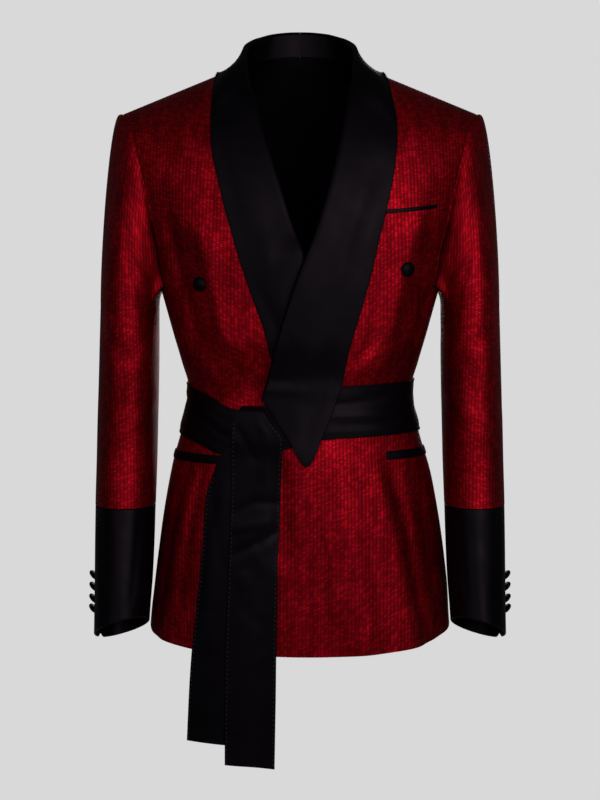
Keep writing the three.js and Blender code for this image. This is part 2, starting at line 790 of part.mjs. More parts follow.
function foldFrame(rows, u) {
  const row = along(rows, u);
  const before = along(rows, Math.max(0, u - 0.2));
  const after = along(rows, Math.min(rows.length - 1, u + 0.2));
  const fold = new THREE.Vector3(row.rx, row.ry, row.rz);
  const edge = new THREE.Vector3(row.ex, row.ey, row.ez);
  const tangent = new THREE.Vector3(after.rx - before.rx, after.ry - before.ry, after.rz - before.rz);
  if (u >= rows.length - 1) tangent.set(Math.sign(before.rx) * -1, 0, 0);
  const width = fold.distanceTo(edge);
  const across = edge.clone().sub(fold).normalize();
  const normal = across.clone().cross(tangent).normalize();
  if (normal.dot(new THREE.Vector3(row.ex, row.ey - 10, 30)) < 0) normal.negate();
  return { row, fold, edge, width, across, normal };
}

function shawlPanel(cut, side) {
  const rows = shawlRows(cut, side);
  const last = rows.length - 1;
  const levels = [];
  for (let u = 0; u <= last; u += u < 10 || u >= 13 ? 1 : 0.5) levels.push(u);
  const lift = (x, z) => {
    if (side > 0) return (LAPEL_OVER_BELT - LAPEL_OUT) * smooth((-371 - z) / 13);
    return -sinkAt(x, z);
  };
  const place = (inner) => levels.map((u) => {
    const frame = foldFrame(rows, u);
    const { row, fold, across, normal, width } = frame;
    const near = (away, high, s) => {
      const flat = frontPlace(row, away, width);
      const front = row.k < 1 ? layerAtX(flat.x, flat.z, high + lift(flat.x, flat.z)) : null;
      const bulge = row.swell * 4 * s * (1 - s) - 0.8 * (1 - s) - LAPEL_OUT * s;
      const free = fold.clone().addScaledVector(across, away).addScaledVector(normal, high + bulge);
      return front ? front.lerp(free, Math.max(0, row.k)) : free;
    };
    const hook = FOLD_HOOK.map((h) => (inner
      ? near(h.acrossIn, h.highIn, 0)
      : near(h.across, h.high, 0)));
    const start = FOLD_HOOK[FOLD_HOOK.length - 1].across;
    const sheet = FOLD_SHARES.map((s) => {
      const high = mix(4.7, LAPEL_OUT, s) - (inner ? SATIN : 0);
      return near(mix(start, width, s), high, s);
    });
    const points = [...hook, ...sheet];
    if (u === last) points.forEach((p) => { p.x = side * SEAM / 2; });
    return points;
  });
  return wall(place(false), place(true));
}

function frontPlace(row, away, width) {
  const dx = row.ex - row.rx;
  const dz = row.ez - row.rz;
  const t = away / Math.max(width, 1);
  return { x: row.rx + dx * t, z: row.rz + dz * t };
}

function standSheet() {
  const rows = shawlRows(SHAWL_LEFT, 1);
  const last = rows.length - 1;
  const first = STAND_FIRST;
  const lines = [];
  for (let u = first; u <= last; u += 1) {
    const { fold, across, normal } = foldFrame(rows, u);
    const low = along(STAND, (u - first) * (STAND.length - 1) / (last - first));
    const top = fold.addScaledVector(across, 3.1).addScaledVector(normal, -1.5);
    if (u === last) top.x = 0;
    lines.push([0, 0.5, 1].map((t) => new THREE.Vector3(low.x, low.y, low.z).lerp(top, t)));
  }
  const other = lines.slice(0, -1).reverse().map((line) => line.map((p) => mirrored(p, -1)));
  const grid = [...lines, ...other];
  const normals = gridNormals(grid, false, 1);
  const shift = (d) => grid.map((row, r) => row.map((p, c) => p.clone().addScaledVector(normals[r][c], d)));
  return wall(shift(SATIN / 2), shift(-SATIN / 2));
}

function beltBand() {
  const top = curve(BELT, 'a', 'top');
  const low = curve(BELT, 'a', 'low');
  const steps = 44;
  const place = (out) => {
    const grid = [];
    for (let k = 0; k <= steps; k += 1) {
      const a = mix(BELT[0].a, BELT[BELT.length - 1].a, k / steps);
      grid.push([0, 0.33, 0.67, 1].map((t) => layer(a, mix(top(a), low(a), t), out)));
    }
    return grid;
  };
  return wall(place(BELT_OUT), place(BELT_OUT - SATIN));
}

function tail(rows, slant) {
  const last = rows[rows.length - 1].z;
  const cols = 4;
  const outer = rows.map((row) => {
    const line = [];
    for (let c = 0; c <= cols; c += 1) {
      const t = c / cols;
      const drop = slant * t * smooth((row.z + 700) / (last + 700));
      line.push(layerAtX(mix(row.x1, row.x2, t), row.z + (row.z < -700 ? drop : 0), row.off));
    }
    return line;
  });
  const normals = gridNormals(outer, false, 1);
  const inner = outer.map((row, r) => row.map((p, c) => {
    const n = normals[r][c];
    return p.clone().addScaledVector(n, n.y > 0 ? TAIL_SATIN : -TAIL_SATIN);
  }));
  return wall(outer, inner);
}

function knotLump() {
  const rows = 8;
  const cols = 14;
  const centre = layerAtX(KNOT.x, KNOT.z, KNOT.off);
  const n = outward(angleOf(KNOT.x, KNOT.z), KNOT.z);
  const side = new THREE.Vector3(0, 0, 1).cross(n).normalize().negate();
  const up = n.clone().cross(side).negate().normalize();
  const soft = (v) => Math.sign(v) * Math.abs(v) ** 0.72;
  const points = [];
  for (let r = 1; r < rows; r += 1) {
    const lat = Math.PI * (r / rows - 0.5);
    for (let c = 0; c < cols; c += 1) {
      const lon = 2 * Math.PI * c / cols;
      const p = centre.clone();
      p.addScaledVector(side, KNOT.halfWide * soft(Math.cos(lat)) * soft(Math.cos(lon)));
      p.addScaledVector(up, KNOT.halfHigh * soft(Math.sin(lat)));
      p.addScaledVector(n, KNOT.halfDeep * soft(Math.cos(lat)) * soft(Math.sin(lon)));
      points.push(p.x, p.y, p.z);
    }
  }
  const low = centre.clone().addScaledVector(up, -KNOT.halfHigh);
  const high = centre.clone().addScaledVector(up, KNOT.halfHigh);
  points.push(low.x, low.y, low.z, high.x, high.y, high.z);
  return solid(points, ballFaces(rows - 1, cols));
}

// Faces of stacked rings closed by one point below and one above.
function ballFaces(rings, cols) {
  const faces = [];
  const at = (r, c) => r * cols + (c % cols);
  for (let r = 0; r + 1 < rings; r += 1) {
    for (let c = 0; c < cols; c += 1) {
      faces.push(at(r, c), at(r, c + 1), at(r + 1, c + 1), at(r, c), at(r + 1, c + 1), at(r + 1, c));
    }
  }
  for (let c = 0; c < cols; c += 1) {
    faces.push(rings * cols, at(0, c + 1), at(0, c));
    faces.push(rings * cols + 1, at(rings - 1, c), at(rings - 1, c + 1));
  }
  return faces;
}

// Strip of satin lying on the body between two points of the front view.
function strip(from, to, high, out, thick, cols) {
  const place = (level) => [0.5, -0.5].map((t) => {
    const row = [];
    for (let c = 0; c <= cols; c += 1) {
      const a = mix(from.a, to.a, c / cols);
      row.push(layer(a, mix(from.z, to.z, c / cols) + high * t, level));
    }
    return row;
  });
  return wall(place(out), place(out - thick));
}

// Turned solid about an axis, from pairs of radius and height.
function turned(centre, axis, profile, cols) {
  const u = new THREE.Vector3(0, 0, 1).cross(axis).normalize();
  const w = axis.clone().cross(u).normalize();
  const points = [];
  const put = (p) => points.push(p.x, p.y, p.z);
  const rings = profile.slice(1, -1);
  for (const [radius, height] of rings) {
    for (let c = 0; c < cols; c += 1) {
      const a = 2 * Math.PI * c / cols;
      const p = centre.clone().addScaledVector(axis, height);
      put(p.addScaledVector(u, radius * Math.cos(a)).addScaledVector(w, radius * Math.sin(a)));
    }
  }
  put(centre.clone().addScaledVector(axis, profile[0][1]));
  put(centre.clone().addScaledVector(axis, profile[profile.length - 1][1]));
  return solid(points, ballFaces(rings.length, cols));
}

function chestButton(row) {
  const r = CHEST_BUTTON.across / 2;
  const h = CHEST_BUTTON.thick;
  const profile = [[0, 0], [0.45 * r, 0], [r, 0.3 * h], [0.96 * r, 0.55 * h], [0.62 * r, 0.9 * h], [0, h]];
  const centre = layerAtX(row.x, row.z, SEAT);
  return turned(centre, outward(angleOf(row.x, row.z), row.z), profile, 14);
}

function cuffButton(side, z) {
  const v = 2 + (z - CUFF_SEAM_Z) / (CUFF_END_Z - CUFF_SEAM_Z);
  const a = BACK_SEAM_CUFF + 7;
  const on = sleeveLayer(a, v, 0);
  const n = sleeveLayer(a, v, 1).sub(on).normalize();
  const lean = rad(CUFF_BUTTON.lean);
  const axis = new THREE.Vector3(n.x * Math.cos(lean), n.y * Math.cos(lean), -Math.sin(lean)).normalize();
  const centre = on.addScaledVector(n, CUFF_BUTTON.stand);
  const r = CUFF_BUTTON.across / 2;
  const h = CUFF_BUTTON.thick / 2;
  const base = -h - CUFF_BUTTON.shank;
  const profile = [
    [0, base], [CUFF_BUTTON.neck, base], [CUFF_BUTTON.neck, -h], [0.9 * r, -h],
    [r, 0], [0.9 * r, 0.7 * h], [0.5 * r, h], [0, h],
  ];
  return turned(mirrored(centre, side), mirrored(axis, side), profile, 10);
}

function backLining() {
  const pick = (side) => backAngles(side).slice(0, RISE.length + 1).map((row) => row.slice(0, -1));
  const left = pick(1);
  const right = pick(-1);
  const angles = left.map((row, r) => [...[...row].reverse(), ...right[r].slice(1)]);
  const place = (out) => angles.map((row) => row.map(([a, z], c) => {
    const middle = c === (row.length - 1) / 2;
    const p = layer(middle ? 180 : a, z, out);
    p.y = Math.max(p.y, SEAM / 2);
    return p;
  }));
  return wall(place(-LINING_IN), place(-LINING_IN - LINING_THICK));
}

const group = new THREE.Group();
group.name = 'tuxedo_jacket';

function add(name, geometry, look) {
  const material = new THREE.MeshStandardMaterial({ ...look, side: THREE.FrontSide });
  const mesh = new THREE.Mesh(geometry, material);
  mesh.name = name;
  group.add(mesh);
}

for (const [side, name] of [[1, 'left'], [-1, 'right']]) {
  add(`front_${name}`, frontPanel(side), RED);
  add(`side_${name}`, sidePanel(side), RED);
  add(`back_${name}`, backPanel(side), RED);
  const inner = () => INNER_SEAM;
  add(`sleeve_top_${name}`, sleevePanel(side, (v) => backSeam(v) - 360, inner, 13, SLEEVE_LEVELS), RED);
  add(`sleeve_under_${name}`, sleevePanel(side, inner, backSeam, 7, SLEEVE_LEVELS), RED);
  add(`cuff_${name}`, sleevePanel(side, (v) => backSeam(v) - 360, backSeam, 20, CUFF_LEVELS, notched), BLACK);
  CUFF_BUTTON_Z.forEach((z, k) => add(`cuff_button_${name}_${k + 1}`, cuffButton(side, z), BLACK));
}
add('shawl_left', shawlPanel(SHAWL_LEFT, 1), BLACK);
add('shawl_right', shawlPanel(SHAWL_RIGHT, -1), BLACK);
add('collar_stand', standSheet(), BLACK);
add('back_lining', backLining(), LINING);
add('belt_band', beltBand(), BLACK);
add('belt_knot', knotLump(), BLACK);
add('belt_tail_front', tail(TAIL_FRONT, TAIL_FRONT_SLANT), BLACK);
add('belt_tail_rear', tail(TAIL_REAR, TAIL_REAR_SLANT), BLACK);
const weltFrom = { a: angleOf(WELT.x1, WELT.z1), z: WELT.z1 };
const weltTo = { a: angleOf(WELT.x2, WELT.z2), z: WELT.z2 };
add('breast_welt', strip(weltFrom, weltTo, WELT.high, WELT.out, WELT.thick, 5), BLACK);
for (const jet of JETS) {
  const from = { a: angleOf(jet.side * jet.x1, jet.z), z: jet.z };
  const to = { a: jet.side * jet.a2, z: jet.z };
  add(jet.name, strip(from, to, JET_HIGH, JET_OUT, JET_THICK, 9), BLACK);
}
for (const row of CHEST_BUTTONS) add(row.name, chestButton(row), BLACK);

export default group;
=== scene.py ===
import math

import bpy
import numpy as np
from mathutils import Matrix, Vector


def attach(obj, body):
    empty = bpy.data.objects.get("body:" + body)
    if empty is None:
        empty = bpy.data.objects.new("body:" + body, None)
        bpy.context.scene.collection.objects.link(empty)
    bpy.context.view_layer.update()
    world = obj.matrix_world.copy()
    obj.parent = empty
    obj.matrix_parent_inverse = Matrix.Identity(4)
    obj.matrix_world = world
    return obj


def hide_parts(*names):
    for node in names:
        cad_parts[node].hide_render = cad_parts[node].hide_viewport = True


# Wrap tuxedo jacket, worn form with no wearer. The tables are in millimetres, as in the part's source,
# with the front towards -Y and the wearer's left at +X. Meshes are made in metres.
MM = 0.001
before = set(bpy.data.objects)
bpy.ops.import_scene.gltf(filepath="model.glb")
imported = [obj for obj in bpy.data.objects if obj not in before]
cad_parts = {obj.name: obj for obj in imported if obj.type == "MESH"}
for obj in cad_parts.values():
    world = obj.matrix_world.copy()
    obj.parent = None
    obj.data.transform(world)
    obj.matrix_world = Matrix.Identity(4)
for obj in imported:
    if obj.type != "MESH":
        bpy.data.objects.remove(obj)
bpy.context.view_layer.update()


def table(names, text):
    """Columns of numbers by name, from text with one row to a line."""
    rows = [line.split() for line in text.splitlines() if line]
    return {name: np.array(column, float) for name, column in zip(names.split(), zip(*rows))}


# Cloth, layering and seams.
CLOTH = 2.0
TURN_IN = 0.15
SATIN = 1.6
SEAM = 0.4
SEAT = 0.4
LAPEL_OUT = 3.8
LAPEL_ROLL = 4.7
LAPEL_PRESS = 1.8
LAPEL_OVER_BELT = 8.4
BELT_OUT = 3.6
BELT_WIDE = 62
BELT_PRESS = 1.3
UNDERLAP_SINK = 9.2
UNDERLAP_SINK_SKIRT = 4.6

# Woven ribs of the red cloth: pitch, columns of points in one rib, height and row spacing.
RIB = 4.5
RIB_COLUMNS = 4
RIB_HIGH = 0.18
RIB_STITCH = 2.6
RIB_LEAN_FRONT = 16
RIB_LEAN_BACK = 8
INSIDE_PITCH = 9.0

# Body form.
ROUND = 2.4
CHEST_ROUND = 3.5
YOKE_ROUND = 5
ARM_Z = -262
SIDE_SEAM = 68
UNDERARM_DIP = 9
SIDE_LONG = 425
HEM_Z = -684
HEM_DROP_FRONT = 22
HEM_DROP_BACK = 8
NECK_X = 75
NECK_Y = 80
NECK_SIDE_Z = 6
NECK_BACK_Z = 24
SHOULDER_SLOPE = 0.408
SHOULDER_X = 218

BODY = table("z half front back", """
30 262 80 80
0 258 86 93
-50 247 96 101
-94 235 105 108
-144 215 113 113
-200 193 118 115
-262 173.5 119 115
-325 156 117 112
-356 147 111 106
-394 137.5 104 98
-444 148 107 101
-481 158.5 111 106
-519 166.5 114 110
-569 174.8 117 114
-631 182.5 119 117
-690 188 121 120
-740 191 122 121
""")

# Soft standing folds shared with the solids: centre line in degrees from the front, width and depth.
FOLDS = table("z1 a1 z2 a2 wide deep", """
-452 -4 -700 -9 7 -4
-450 30 -690 44 13 5
-470 58 -690 64 9 -4
-470 -52 -690 -62 13 4
-455 146 -690 150 16 -4
-455 -146 -690 -152 16 -4
-455 118 -690 120 14 4
-455 -120 -690 -122 14 4
-330 38 -378 20 9 3
-320 -60 -384 -48 10 3.5
""")

# Folds and creases of the cloth: a line in degrees and height, its width and depth.
CREASES = table("a1 z1 a2 z2 wide deep", """
31 -318 22 -362 9 -1.6
46 -322 33 -372 8 1.3
58 -338 44 -374 7 -1.2
-34 -330 -24 -372 8 -1.4
-50 -338 -38 -384 8 1.4
-68 -330 -58 -374 8 -1.3
13 -478 21 -700 20 6.4
40 -480 53 -700 17 -6.0
-5 -478 -4 -590 9 -5.2
-58 -492 -66 -690 14 -3.6
42 -186 38 -330 17 3.8
68 -180 64 -330 14 -4.4
-33 -196 -31 -330 15 3.8
-50 -190 -51 -330 15 -4.0
-28 -500 -34 -655 12 1.6
-44 -480 -50 -640 10 -1.7
8 -520 12 -668 10 1.2
82 -480 88 -650 13 1.7
-84 -490 -88 -640 13 -1.6
24 -120 30 -210 16 -1.1
-22 -110 -30 -205 16 -1.1
46 -150 52 -235 13 -1.3
-46 -140 -54 -240 13 -1.4
58 -228 68 -262 9 1.4
-58 -230 -68 -264 9 1.4
165 -300 150 -366 15 -1.9
-166 -296 -152 -360 15 -1.8
140 -310 128 -366 11 1.5
-138 -316 -124 -368 11 1.5
172 -90 158 -190 18 -1.6
-171 -100 -160 -186 18 -1.5
134 -150 124 -240 13 -1.8
-134 -146 -124 -244 13 -1.8
160 -490 164 -650 14 1.7
-164 -480 -168 -655 14 1.6
""")

# Millimetres round the body, the belt and a sleeve for one degree, and along a sleeve for one step of v.
BODY_AROUND = 2.8
BELT_AROUND = 2.5
SLEEVE_AROUND = 0.95
SLEEVE_ALONG = 250

ARMHOLE = table("z x", f"""
-52 {SHOULDER_X}
-72 204
-94 197
-144 184.5
-181 177.5
-219 172
-245 168.5
{ARM_Z} 164
""")

EDGE_LEFT = table("z x", """
6 75
-5 70
-20 63.5
-45 55.6
-82 48.1
-124 38.4
-159 28.9
-194 18.3
-224 6.6
-259 -6.8
-306 -22.3
-366 -38
-399 -46
-430 -50
-720 -52
""")
EDGE_RIGHT = table("z x", """
6 75
-5 70
-20 62
-39 53.3
-76 43.4
-118 30.1
-148 20.6
-189 7.7
-221 -5.3
-277 -20.7
-336 -32.6
-399 -43
-430 -48
-720 -50
""")

# Shawl, from the breakpoint up to the centre back: fold line and outer edge, wearer's left.
# In place of a depth, ON_FRONT puts the point on the front of the body and ON_BACK on its back.
# The swell is how far the collar rounds out between fold and edge, negative where it hollows in.
ON_FRONT = 999
ON_BACK = -999
COLLAR_BACK = """
64 21.5 32.6 101 -999 -5 -6.5
60 36 39 98 -999 -7 -6
53.5 49.5 44.6 91 -999 -13 -5
44 61 49 80 -999 -20 -4
34.5 69.5 52.4 64 -999 -20.5 -3.5
23 75 54.5 46 -999 -18 -3
11.7 78.7 55.7 23.5 -999 -15.7 -3
0.2 80 56 0.2 -999 -14 -3
"""
SHAWL_LEFT = table("rx ry rz ex ey ez swell", """
-45.5 999 -396 -40 999 -403 0
-42.5 999 -384 -14 999 -444 0
-38 999 -366 7.8 999 -477 0
-30.5 999 -338 26.9 999 -441 0
-22.3 999 -306 47.4 999 -384 0
-6.8 999 -259 58.8 999 -336 0
6.6 999 -224 72.9 999 -289 0
18.3 999 -194 84.6 999 -247 0
28.9 999 -159 94 999 -206 0
38.4 999 -124 103.5 999 -168 0
48.1 999 -82 112 999 -127 0
55.6 999 -45 116.3 999 -87 0
61 -50 -20 115.6 999 -60 5
64.5 -24 6 110.5 999 -31 3
65.4 -9 16.5 107.5 999 -15 -2
65.5 6 25 105 -8 -1.5 -6
""" + COLLAR_BACK)
SHAWL_RIGHT = table("rx ry rz ex ey ez swell", """
-41 999 -386 27 999 -381 0
-36.6 999 -360 33.5 999 -357 0
-32.6 999 -336 38 999 -338 0
-26.8 999 -306 45.6 999 -306 0
-17 999 -263 59.7 999 -265 0
-5.3 999 -221 71.5 999 -230 0
7.7 999 -189 82.1 999 -194 0
20.6 999 -148 90.4 999 -165 0
30.1 999 -118 97.7 999 -135 0
43.4 999 -76 105.3 999 -100 0
53.3 999 -39 107.2 999 -63 0
60 -50 -20 106.2 999 -42 5
64.5 -24 6 104 999 -22 3
65.4 -9 16.5 103.5 999 -11 -2
65.5 6 25 103 -8 -0.8 -6
""" + COLLAR_BACK)
# Section of the fold: distance across the lapel and height over the cloth, outer and inner face.
FOLD_HOOK = table("across high acrossIn highIn", """
0.3 -2.2 1.9 -2.0
0 0.8 1.7 0.9
1.5 3.3 2.7 1.9
5 4.6 5.2 3.0
""")
FOLD_EDGE = 3
COLLAR_EASE = 1.8
LINING_IN = 3.6
LINING_THICK = 1
LINING_WIDE = 0.9
STAND = table("x y z", """
68.4 -29 -3.5
71.6 -13 3.4
73.2 4 7.8
71 19 9.4
66 31 11.4
57 48.4 14.8
50 58 17.4
41.5 65.5 20.2
28 73 23
14 77.8 24.7
0 79.2 25
""")
# The stand's top under the fold, and the row of the collar where it begins.
STAND_ACROSS = 3.1
STAND_UNDER = 1.5
STAND_FIRST = 13
COLLAR_SEAM = 0.03

# Soft troughs and ridges of the satin lapels, in the front view: a line, its width and its depth.
LAPEL_CREASES = table("x1 z1 x2 z2 wide deep", """
96 -118 62 -232 13 -1.1
74 -150 40 -262 10 0.9
38 -330 8 -440 11 -1.2
16 -330 -8 -420 9 1.0
-98 -92 -70 -210 13 -1.0
-60 -120 -32 -250 10 0.9
-58 -262 -14 -330 10 -0.9
""")

# Sleeve sections, outer and inner sides in the front view, middle and half depth in the side view.
SLEEVE = table("z outer inner mid deep", """
-290 247 175.5 0 71
-344 249 175.8 0 68
-388 250.5 176.5 -1 65
-431 252 177.5 -4 62
-482 253 178.5 -10 59
-531 254 180 -18 57
-575 254.2 181 -27 55
-618 254 182.5 -37 53.5
-660 253.8 185.3 -47 52
-715 254 188.3 -60 50
""")
SLEEVE_ROUND = 2.2
HEAD_PUFF = 2
HEAD_EASE = 0.9
TUBE_TOP = -290
CUFF_SEAM_Z = -533
CUFF_END_Z = -683
CUFF_START = 2.002
CUFF_LONG = 143
CUFF_TILT_OUT = 0.28
CUFF_TILT_BACK = 0.33
INNER_SEAM = 150
BACK_SEAM_TOP = 282
BACK_SEAM_CUFF = 330
NOTCH_HIGH = 4
NOTCH_WIDE = 10

# Creases of the sleeves: side, line in degrees and in shares of length, width and depth in mm.
SLEEVE_CREASES = table("side a1 v1 a2 v2 wide deep", """
1 40 1.05 120 1.25 11 -1.4
1 60 1.3 128 1.16 12 1.3
1 20 1.52 96 1.4 12 -1.3
1 100 1.55 170 1.36 10 1.2
1 200 1.1 270 1.32 13 -1.6
1 300 1.3 240 1.55 12 1.4
1 70 0.42 110 0.75 13 -1.2
-1 36 1.12 112 1.28 11 -1.4
-1 66 1.38 132 1.22 12 1.3
-1 24 1.6 92 1.47 12 -1.2
-1 104 1.6 168 1.42 10 1.1
-1 210 1.14 276 1.36 13 -1.5
-1 296 1.4 238 1.62 12 1.4
-1 74 0.46 108 0.78 13 -1.2
""")
CUFF_CREASES = table("side a1 v1 a2 v2 wide deep", """
1 48 2.06 62 2.9 9 -1.1
1 92 2.1 88 2.95 9 0.9
1 128 2.12 118 2.8 8 -1.0
1 220 2.1 232 2.9 11 -1.2
-1 44 2.08 58 2.86 9 -1.1
-1 84 2.16 92 2.96 9 0.9
-1 124 2.1 114 2.82 8 -1.0
-1 226 2.12 236 2.88 11 -1.2
""")

BELT = table("a top low", """
-25 -411 -464
-36 -406 -463
-48 -395 -455
-62 -388 -449
-90 -383 -444
-130 -382 -443
-180 -380 -442
-230 -379 -441
-270 -378 -441
-300 -378 -441
-325 -379 -442
-340 -380 -443
-352 -382 -445
-364 -398 -456
-375 -405 -463
""")
# Folds of the belt, pulled together at the knot: line in degrees and shares of its height.
BELT_CREASES = table("a1 t1 a2 t2 wide deep", """
-30 0.62 -62 0.44 4 -1.1
-30 0.42 -84 0.2 4 0.9
-34 0.8 -74 0.74 4 -0.9
-58 0.3 -100 0.36 5 -0.8
-352 0.36 -318 0.3 4 -1.1
-350 0.56 -306 0.62 4 1.0
-346 0.76 -312 0.8 4 -0.9
-330 0.18 -286 0.3 5 -0.8
-150 0.4 -210 0.46 6 -0.9
-230 0.66 -276 0.56 6 -0.8
-110 0.62 -160 0.7 6 -0.8
""")

TAIL_FRONT = table("z x1 x2 off", """
-404 -66 -44 8.8
-406 -66.5 -43 16.2
-412 -69.5 -39.5 20.6
-425 -74 -32.5 21.8
-445 -76 -19.5 20.6
-470 -77.8 -21 15
-500 -79 -22.5 12.5
-545 -81 -24.2 10.4
-600 -83.7 -26.5 9.6
-655 -86 -27.6 9.2
-700 -87.6 -28.3 9
-745 -88.4 -28.8 8.8
-790 -89 -29.6 8.6
-838 -89.2 -30.5 8.6
""")
TAIL_FRONT_SLANT = -3.6
TAIL_REAR = table("z x1 x2 off", """
-455 -86 -50 6.5
-470 -96 -44 6.1
-488 -103 -42 5.3
-518 -111.5 -46 5
-555 -114 -51 5
-615 -119.4 -58 5
-658 -124.4 -63 5
-700 -129 -69 5
-740 -132 -72 5
-813 -135.7 -76 5
""")
TAIL_REAR_SLANT = -2
TAIL_SATIN = 2.2
TAIL_WIDE = 60
TAIL_SLANT_Z = -700
# Creases of the hanging tails: share across and height at each end, width and depth.
TAIL_FRONT_CREASES = table("t1 z1 t2 z2 wide deep", """
0.04 -533 0.5 -518 5 -1.7
0.5 -518 0.98 -520 5 -1.6
0.02 -584 0.55 -568 6 -1.7
0.55 -568 0.98 -553 5 -1.5
0.05 -551 0.8 -541 6 1.3
0.3 -604 0.36 -622 8 1.3
0.1 -430 0.45 -468 5 -1.2
0.7 -424 0.62 -486 6 1.1
0.35 -560 0.75 -600 7 0.7
0.25 -640 0.7 -668 8 -0.7
0.4 -720 0.8 -700 8 0.6
""")
TAIL_REAR_CREASES = table("t1 z1 t2 z2 wide deep", """
0.15 -520 0.4 -600 6 -0.8
0.2 -660 0.45 -700 8 0.7
""")

KNOT = {"x": -57, "z": -431, "off": 10.75, "halfWide": 21, "halfHigh": 22, "halfDeep": 7.6, "power": 0.72}

WELT = {"x1": 98, "z1": -173.2, "x2": 164.5, "z2": -166, "high": 5, "out": 1.7, "thick": 1.2}
JET_HIGH = 10.6
JET_OUT = 2
JET_THICK = 1.4
JETS = [("hip_jet_left", 1, 105, 85, -465.5), ("hip_jet_right", -1, 95, 85, -470)]

CHEST_BUTTON = {"across": 17.6, "thick": 6.6}
CHEST_BUTTONS = [("chest_button_left", 125.7, -240.7), ("chest_button_right", -118.5, -258.5)]
CUFF_BUTTON = {"across": 14, "thick": 4, "lean": 40, "stand": 7.2, "shank": 5.85, "neck": 1.6, "past": 7}
BUTTON_PLEATS = 0.012
CUFF_BUTTON_Z = [-615.5, -628, -641, -652]

RISE = [0, 0.15, 0.3, 0.44, 0.57, 0.69, 0.79, 0.87, 0.93, 0.975, 1]
RISE_STEPS = 6
FALL_ROWS = 74


def mix(a, b, t):
    return a + (b - a) * t


def smooth(t):
    c = np.clip(t, 0, 1)
    return c * c * (3 - 2 * c)


def power(value, p):
    return np.sign(value) * np.abs(value) ** p


def unit(v):
    return v / np.maximum(np.linalg.norm(v, axis=-1, keepdims=True), 1e-12)


def run(points):
    """Distance along a line of points at each of them."""
    return np.concatenate([[0], np.cumsum(np.linalg.norm(np.diff(points, axis=0), axis=1))])


def read(at, places, points, **more):
    """Points between the rows of an array of points, by their places."""
    return np.stack([np.interp(at, places, points[:, k], **more) for k in range(3)], -1)


def curve(rows, name, key="z"):
    """Monotone cubic through one column of a table."""
    order = np.argsort(rows[key])
    xs, ys = rows[key][order], rows[name][order]
    h = np.diff(xs)
    d = np.diff(ys) / h
    m = np.zeros(len(xs))
    m[0], m[-1] = d[0], d[-1]
    for i in range(1, len(xs) - 1):
        if d[i - 1] * d[i] > 0:
            w1, w2 = 2 * h[i] + h[i - 1], h[i] + 2 * h[i - 1]
            m[i] = (w1 + w2) / (w1 / d[i - 1] + w2 / d[i])

    def at(x):
        x = np.clip(x, xs[0], xs[-1])
        i = np.clip(np.searchsorted(xs, x, side="right") - 1, 0, len(h) - 1)
        t = (x - xs[i]) / h[i]
        s = 1 - t
        ends = ys[i] * (1 + 2 * t) * s * s + ys[i + 1] * t * t * (3 - 2 * t)
        return ends + h[i] * (m[i] * t * s * s + m[i + 1] * t * t * (t - 1))

    return at


half, front_deep, back_deep = (curve(BODY, name) for name in ("half", "front", "back"))
armhole_x, edge_left, edge_right = (curve(rows, "x") for rows in (ARMHOLE, EDGE_LEFT, EDGE_RIGHT))
sleeve_outer, sleeve_inner = curve(SLEEVE, "outer"), curve(SLEEVE, "inner")
sleeve_mid, sleeve_deep = curve(SLEEVE, "mid"), curve(SLEEVE, "deep")


def shoulder_z(x):
    return NECK_SIDE_Z - SHOULDER_SLOPE * (np.abs(x) - NECK_X)


def neck_top(x):
    """Neck seam behind: height and depth at a distance from the centre."""
    s = np.clip(np.abs(x) / NECK_X, 0, 1)
    return mix(NECK_BACK_Z, NECK_SIDE_Z, s ** 2.2), NECK_Y * np.sqrt(1 - s * s)


def ridge(u, v, u1, v1, u2, v2, wide):
    """1 on a straight line, falling off to both sides and fading out towards its ends."""
    du, dv = u2 - u1, v2 - v1
    long = math.hypot(du, dv)
    t = ((u - u1) * du + (v - v1) * dv) / long ** 2
    away = ((u - u1) * dv - (v - v1) * du) / long / wide
    return np.exp(-away * away) * smooth(t * 3.2 + 0.6) * smooth((1 - t) * 3.2 + 0.6)


def creases(rows, u, v, per_u=1, per_v=1):
    """Sum of a table's creases at u and v, with the millimetres in one step of each."""
    total = np.zeros(np.broadcast(u, v).shape)
    for u1, v1, u2, v2, wide, deep in zip(*rows.values()):
        line = ridge(u * per_u, v * per_v, u1 * per_u, v1 * per_v, u2 * per_u, v2 * per_v, wide)
        total = total + deep * line
    return total


def fold_at(a, z):
    """Height of the standing folds and creases of the body's cloth."""
    a = (a + 180) % 360 - 180
    total = np.zeros(np.broadcast(a, z).shape)
    for z1, a1, z2, a2, wide, deep in zip(*FOLDS.values()):
        t = (z - z1) / (z2 - z1)
        span = smooth(t * 3) * (smooth((1 - t) * 3) if z2 > -400 else 1)
        away = (a - mix(a1, a2, np.maximum(0, t))) / wide
        total = total + deep * span * np.exp(-away * away)
    return total + creases(CREASES, a, z, BODY_AROUND)


def angle_of(x, z):
    """Angle from the front, in degrees, of a point of the front at x."""
    s = np.clip(np.abs(x) / half(z), 0, 1)
    return np.sign(x) * np.degrees(np.arcsin(s ** (ROUND / 2)))


def x_of(a, z):
    return power(np.sin(np.radians(a)), 2 / ROUND) * half(z)


